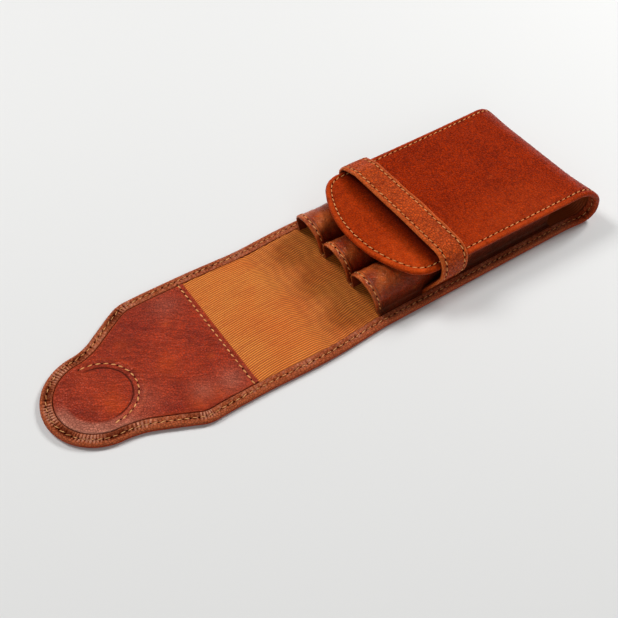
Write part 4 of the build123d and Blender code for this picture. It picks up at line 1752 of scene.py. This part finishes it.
class Finishes:
    """Every material of the case, made once and shared."""

    def __init__(self) -> None:
        """Makes the shared node groups and the materials."""
        self.grain = grain_group()
        self.tone = tone_group()
        self.wear = wear_group()
        kinds = (COVER, FACING, SLEEVE, STRAP, STRAP_INNER)
        self.leathers = {kind.name: self.leather(kind) for kind in kinds}
        self.cloth = self.ribbed_cloth(Cloth())
        self.thread = self.sewing_thread(Yarn("thread", (0.90, 0.44, 0.16), (0.66, 0.25, 0.07)))
        self.soiled_thread = self.sewing_thread(Yarn("rim_thread", (0.84, 0.40, 0.15), (0.50, 0.19, 0.06)))
        self.hole = self.needle_hole()
        self.board = self.stiffener(Stiffener("board", (0.34, 0.28, 0.21), (0.46, 0.39, 0.30), 0.85))
        self.felt = self.stiffener(Stiffener("stay_felt", (0.20, 0.17, 0.14), (0.30, 0.26, 0.22), 0.95))
        self.disc = self.stiffener(Stiffener("disc", (0.10, 0.10, 0.11), (0.16, 0.16, 0.17), 0.5))

    def start(self, name: str) -> tuple[bpy.types.Material, Graph, bpy.types.Node, Socket]:
        """New material with a Principled shader.

        Args:
            name: Name of the finish.

        Returns:
            The material, its graph, the shader and the object coordinates.
        """
        material = bpy.data.materials.new(f"{name}_finish")
        material.use_nodes = True
        material.node_tree.nodes.clear()
        graph = Graph(material.node_tree)
        shader = graph.node("ShaderNodeBsdfPrincipled")
        graph.node("ShaderNodeOutputMaterial", {"Surface": shader.outputs[0]})
        return material, graph, shader, graph.node("ShaderNodeTexCoord").outputs["Object"]

    def leather(self, finish: Leather) -> bpy.types.Material:
        """Dyed, polished leather with grain, rubbed edges, painted sheen and painted shade in its creases."""
        material, g, shader, place = self.start(finish.name)
        grain = g.node("ShaderNodeGroup", {
            "Vector": place, "Pebble": finish.pebble, "Wrinkle": finish.wrinkle, "Pores": finish.pores,
        }, node_tree=self.grain).outputs
        tone = g.node("ShaderNodeGroup", {
            "Vector": place, "Cloud": finish.cloud, "Streak": finish.streak, "Mottle": finish.mottle,
        }, node_tree=self.tone).outputs
        rubbed = g.node("ShaderNodeGroup", {
            "Vector": place, "Wear": g.mark("wear"), "Amount": finish.wear,
        }, node_tree=self.wear).outputs["Mask"]
        crease, inner = g.mark("crease"), g.mark("inner")
        middle = 0.5 - 0.5 * (finish.clouds + finish.mottling)
        large = g.math("MULTIPLY_ADD", tone["Tone"], finish.clouds, middle)
        blend = g.math("MULTIPLY_ADD", tone["Mottle"], finish.mottling, large, clamp=True)
        dyed = g.mix(blend, finish.deep, finish.bright)
        dyed = g.mix(g.math("MULTIPLY", tone["Fleck"], 0.30), dyed, finish.rubbed)
        dyed = g.mix(g.math("MULTIPLY", inner, 0.85), dyed, finish.inner)
        dyed = g.mix(g.math("MULTIPLY", grain["Valley"], finish.valley), dyed, finish.dark)
        # The wear mark lays the rubbed colour: wear, and painted sheen where the mark carries it.
        worn = g.mix(rubbed, dyed, g.mix(inner, finish.rubbed, finish.pale))
        rough = g.math("MULTIPLY_ADD", grain["Valley"], 0.16, finish.roughness)
        rough = g.math("MULTIPLY_ADD", tone["Tone"], -0.07, rough)
        # The crease mark lays the dark colour, mostly as painted shade.
        g.feed(shader, {
            "Base Color": g.mix(g.math("MULTIPLY", crease, 0.88), worn, finish.dark),
            "Roughness": g.math("MULTIPLY_ADD", crease, 0.25, rough),
            "Normal": g.bump(finish.bump, 0.00026, grain["Height"]),
            "Specular IOR Level": finish.specular, "Specular Tint": finish.tint,
            "Coat Weight": finish.coat, "Coat Roughness": 0.32,
        })
        return material

    def ribbed_cloth(self, cloth: Cloth) -> bpy.types.Material:
        """Orange ribbed cloth, with the weft showing across the ribs."""
        material, g, shader, place = self.start("lining_cloth")
        weft = g.node("ShaderNodeTexWave", {
            "Vector": place, "Scale": 520.0, "Distortion": 1.2, "Detail": 2.0, "Detail Scale": 3.0,
        }, bands_direction="X").outputs["Fac"]
        fibre = g.noise(place, 1900.0, 3.0)
        threads = g.node("ShaderNodeMapping", {"Vector": place, "Scale": (0.06, 1.0, 1.0)}).outputs[0]
        streak = g.noise(threads, 1300.0, 3.0, 0.7)
        base = g.mix(g.spread(g.noise(place, 45.0, 3.0), 0.3, 0.7), cloth.ground, cloth.light)
        # The crease mark lays the valley colour, which is painted shade.
        for factor, share, colour in (
            (g.spread(fibre, 0.35, 0.7), 0.40, cloth.fibre), (g.spread(weft, 0.1, 0.7), 0.30, cloth.weft),
            (g.spread(streak, 0.42, 0.70), 0.40, cloth.streak), (g.mark("crease"), 0.92, cloth.valley),
        ):
            base = g.mix(g.math("MULTIPLY", factor, share), base, colour)
        height = g.math("MULTIPLY_ADD", weft, 0.5, g.math("MULTIPLY", fibre, 0.6))
        g.feed(shader, {
            "Base Color": base, "Roughness": g.spread(fibre, 0.3, 0.7, 0.55, 0.72),
            "Normal": g.bump(0.6, 0.00010, height), "Specular IOR Level": 0.2,
            "Sheen Weight": 0.08, "Sheen Roughness": 0.4, "Sheen Tint": cloth.sheen,
        })
        return material

    def sewing_thread(self, yarn: Yarn) -> bpy.types.Material:
        """Waxed tan thread, with its twist as slanting ridges."""
        material, g, shader, place = self.start(yarn.name)
        twist = g.node("ShaderNodeTexWave", {
            "Vector": place, "Scale": 900.0, "Distortion": 0.8,
        }, bands_direction="DIAGONAL").outputs["Fac"]
        soil = g.noise(place, 320.0, 3.0)
        colour = g.mix(g.spread(soil, 0.35, 0.7), yarn.light, yarn.soil_and_shade)
        g.feed(shader, {
            "Base Color": g.mix(g.math("MULTIPLY", twist, 0.25), colour, yarn.twist),
            "Roughness": g.spread(soil, 0.3, 0.7, 0.5, 0.65),
            "Normal": g.bump(0.5, 0.00008, twist), "Specular IOR Level": 0.15,
        })
        return material

    def needle_hole(self) -> bpy.types.Material:
        """Dark pressed hole where the thread goes down."""
        material, g, shader, place = self.start("needle_hole")
        deep, brim = (0.004, 0.0015, 0.001), (0.012, 0.003, 0.002)
        colour = g.mix(g.spread(g.noise(place, 900.0), 0.3, 0.7), deep, brim)
        g.feed(shader, {"Base Color": colour, "Roughness": 0.9, "Specular IOR Level": 0.0})
        return material

    def stiffener(self, finish: Stiffener) -> bpy.types.Material:
        """Plain fibrous finish of a hidden piece."""
        material, g, shader, place = self.start(finish.name)
        fibre = g.noise(place, 600.0, 4.0)
        g.feed(shader, {
            "Base Color": g.mix(g.spread(fibre, 0.3, 0.7), finish.dark, finish.light),
            "Roughness": finish.roughness, "Normal": g.bump(0.3, 0.0001, fibre),
        })
        return material


# The case


class Case:
    """Builds the pieces of the case, dresses them and hangs those that ride one body on the frame."""

    def __init__(self) -> None:
        """Makes the finishes and the tree that sews."""
        self.finishes = Finishes()
        self.sewer = StitchTree()
        self.seed = 1

    def dress(self, piece: bpy.types.Object, material: bpy.types.Material) -> None:
        """Gives a piece its material."""
        piece.data.materials.clear()
        piece.data.materials.append(material)

    def fold(self, piece: bpy.types.Object, line_of: Fold) -> None:
        """Bakes the piece's placement into its mesh."""
        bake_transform(piece)

    def strip(self) -> None:
        """Outer leather, lining and facing."""
        leathers = self.finishes.leathers
        tongue, body = OuterStrip().build()
        for piece, line_of in ((tongue, Fold.SECOND), (body, Fold.FIRST)):
            self.dress(piece, leathers["cover_leather"])
            self.fold(piece, line_of)
        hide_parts("outer_leather_tongue", "outer_leather_spine")
        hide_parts("outer_leather_body")
        flap, back = Lining().build()
        for piece, line_of in ((flap, Fold.SECOND), (back, Fold.FIRST)):
            self.dress(piece, self.finishes.cloth)
            self.fold(piece, line_of)
        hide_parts("lining_tongue", "lining_spine")
        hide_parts("lining_body")
        facing = Facing().build()
        self.dress(facing, leathers["facing_leather"])
        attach(facing, Body.TONGUE.value)
        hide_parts("tongue_facing")

    def seam(
        self, name: str, lines: Lines, nodes: Sequence[str], body: Body | Fold, rim: bool = False
    ) -> None:
        """Sews a seam with its needle holes.

        Args:
            name: Name of the seam.
            lines: Its lines.
            nodes: Thread nodes of the frame that it stands for.
            body: The body it rides on; for a fold, its pieces are only baked in place.
            rim: Whether it runs in the turned-in edge, where the thread is drawn in and dirty.
        """
        self.seed += 1
        thread, stitch, hole = self.finishes.thread, THREAD, HOLE
        if rim:
            thread, stitch, hole = self.finishes.soiled_thread, RIM_THREAD, RIM_HOLE
        elif body is Body.TONGUE:
            stitch = FACING_THREAD
        rows = self.sewer.sew(f"{name}_stitches", lines, stitch, thread, seed=self.seed)
        holes = self.sewer.sew(f"{name}_holes", lines, hole, self.finishes.hole, seed=self.seed)
        for piece, slot in ((rows, Slot.THREAD), (holes, Slot.COVER)):
            if isinstance(body, Fold):
                self.fold(piece, body)
            else:
                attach(piece, body.value)
        if nodes:
            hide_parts(*nodes)

    def seams(self, panel: SleevePanel, strap: Strap) -> None:
        """All the stitching."""
        edge = StripSeam()
        turned_in, outer = edge.lines(tongue_edge(0.8))
        self.seam("rim_flap", [turned_in], ["rim_thread_tongue"], Fold.SECOND, rim=True)
        self.seam("rim_flap_outer", [outer], [], Fold.SECOND)
        turned_in, outer = edge.lines(body_edge(0.8))
        self.seam("rim_body", [turned_in], ["rim_thread_body", "rim_thread_spine"], Fold.FIRST, rim=True)
        self.seam("rim_body_outer", [outer], [], Fold.FIRST)
        for name, lines, node in Facing().seam_lines():
            self.seam(name, lines, [node], Body.TONGUE)
        self.seam("hem", panel.hem_lines(), ["hem_thread"], Body.CASE)
        self.seam("gutter", panel.gutter_lines(), ["gutter_thread"], Body.CASE)
        self.seam("strap", strap.seam_lines(), ["strap_thread"], Body.CASE)

    def sleeves(self, panel: SleevePanel) -> None:
        """The three sleeves."""
        piece = panel.build()
        self.dress(piece, self.finishes.leathers["sleeve_leather"])
        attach(piece, Body.CASE.value)
        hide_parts("sleeve_panel")

    def strap(self, strap: Strap) -> None:
        """The strap over the cover."""
        outer, inner = strap.build()
        self.dress(outer, self.finishes.leathers["strap_leather"])
        self.dress(inner, self.finishes.leathers["lining_leather"])
        for piece, node in ((outer, "strap_leather"), (inner, "strap_lining")):
            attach(piece, Body.CASE.value)
            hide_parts(node)

    def stiffeners(self) -> None:
        """Hidden boards, stays and disc. Those under the soft flap and in the bend follow the leather."""
        boards = {"back_board": self.finishes.board, "cover_board": self.finishes.board}
        for name, material in boards.items():
            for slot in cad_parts[name].material_slots:
                slot.material = material
        moved = (
            ("tongue_board", self.finishes.board, Slot.BOARD, Body.TONGUE),
            ("tongue_disc", self.finishes.disc, Slot.DISC, Body.TONGUE),
            ("spine_stay", self.finishes.felt, Slot.FELT, Body.SPINE),
            ("bend_stay", self.finishes.felt, Slot.FELT, Body.CASE),
        )
        for name, material, slot, body in moved:
            piece = BendStay().build() if name == "bend_stay" else self.drifted(name)
            self.dress(piece, material)
            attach(piece, body.value)
            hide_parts(name)

    def drifted(self, name: str) -> bpy.types.Object:
        """Copy of a flat hidden piece that wanders with the flap."""
        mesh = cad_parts[name].data.copy()
        bm = bmesh.new()
        bm.from_mesh(mesh)
        bmesh.ops.remove_doubles(bm, verts=bm.verts, dist=WELD / 2)
        straight = np.array([vertex.co for vertex in bm.verts]) / MM
        for vertex, place in zip(bm.verts, LAYOUT.roll(straight[:, :2], straight[:, 2]) * MM):
            vertex.co = Vector(place)
        bm.to_mesh(mesh)
        bm.free()
        log.info("%s: %d faces", name, len(mesh.polygons))
        return added(f"{name}_in_leather", mesh)

    def build(self) -> None:
        """Builds everything in order."""
        panel, strap = SleevePanel(), Strap()
        self.strip()
        self.sleeves(panel)
        self.strap(strap)
        self.seams(panel, strap)
        self.stiffeners()


# Table, light and camera


@dataclass(frozen=True)
class Studio:
    """Pale table, soft light and the camera.

    The camera's focal length and frame are in pixels, its angles in degrees, and its distance and
    target in millimetres. The table's sizes are in metres.
    """

    focal_px: float = 915.174
    frame_px: float = 618.0
    azimuth: float = -35.234
    elevation: float = 49.661
    roll: float = 1.422
    distance: float = 386.16
    target: tuple[float, float, float] = (-11.896, -9.886, 0.0)
    table_radius: float = 0.80
    table_gap: float = 0.0001
    table_colour: Colour = (0.78, 0.78, 0.77)
    sky_light: float = 0.15
    sky_seen: float = 0.70
    sky_mirrored: float = 0.4

    def camera(self) -> None:
        """The camera, at the angle and distance of the photograph."""
        data = bpy.data.cameras.new("camera")
        data.sensor_width = 36.0
        data.lens = self.focal_px / self.frame_px * data.sensor_width
        data.clip_start = 0.01
        camera = added("camera", data)
        az, el, roll = (math.radians(v) for v in (self.azimuth, self.elevation, self.roll))
        back = Vector((math.sin(az) * math.cos(el), -math.cos(az) * math.cos(el), math.sin(el)))
        right = Vector((0, 0, 1)).cross(back).normalized()
        up = back.cross(right)
        right, up = right * math.cos(roll) + up * math.sin(roll), up * math.cos(roll) - right * math.sin(roll)
        turn = Matrix((right, up, back)).transposed()
        place = (Vector(self.target) + back * self.distance) * MM
        camera.matrix_world = Matrix.Translation(place) @ turn.to_4x4()
        bpy.context.scene.camera = camera

    def table(self) -> None:
        """The round table top, which ends before the lamps' light does."""
        mesh = bpy.data.meshes.new("table")
        turns = np.radians(np.arange(0.0, 360.0, 2.0))
        rim = np.column_stack([circle(turns), np.zeros(len(turns))]) * self.table_radius
        mesh.from_pydata(rim.tolist(), [], [range(len(rim))])
        table = added("table", mesh)
        table.location.z = -self.table_gap
        material = bpy.data.materials.new("table")
        material.use_nodes = True
        shader = material.node_tree.nodes["Principled BSDF"]
        Graph(material.node_tree).feed(shader, {"Base Color": self.table_colour, "Roughness": 0.7})
        mesh.materials.append(material)

    def lamp(self, name: str, place: tuple[float, float, float], size: float, power: float) -> None:
        """A soft square lamp that points at the middle of the case."""
        data = bpy.data.lights.new(name, "AREA")
        data.shape = "SQUARE"
        data.size = size
        data.energy = power
        lamp = added(name, data)
        lamp.location = place
        lamp.rotation_euler = (-Vector(place)).to_track_quat("-Z", "Y").to_euler()

    def build(self) -> None:
        """Sets up the view, the table and the lights."""
        scene = bpy.context.scene
        scene.view_settings.view_transform = "Standard"
        world = bpy.data.worlds.new("studio")
        world.use_nodes = True
        g = Graph(world.node_tree)
        ray = g.node("ShaderNodeLightPath").outputs
        glossy = g.math("MULTIPLY", ray["Is Glossy Ray"], self.sky_mirrored)
        mirrored = g.math("MAXIMUM", glossy, ray["Is Transmission Ray"])
        seen = g.math("MAXIMUM", ray["Is Camera Ray"], mirrored)
        strength = g.math("MULTIPLY_ADD", seen, self.sky_seen, self.sky_light)
        g.feed(world.node_tree.nodes["Background"], {"Color": (1.0, 1.0, 1.0), "Strength": strength})
        scene.world = world
        self.table()
        self.lamp("key", (-0.30, 0.55, 0.78), size=0.35, power=5.2)
        self.lamp("right", (0.72, 0.06, 0.66), size=0.28, power=5.9)
        self.lamp("front", (-0.50, -0.75, 0.50), size=0.60, power=1.9)
        self.camera()


def main() -> None:
    """Builds the case and its surroundings."""
    logging.basicConfig(level=logging.INFO, format="%(name)s %(message)s")
    Case().build()
    Studio().build()


if __name__ == "__main__":
    main()
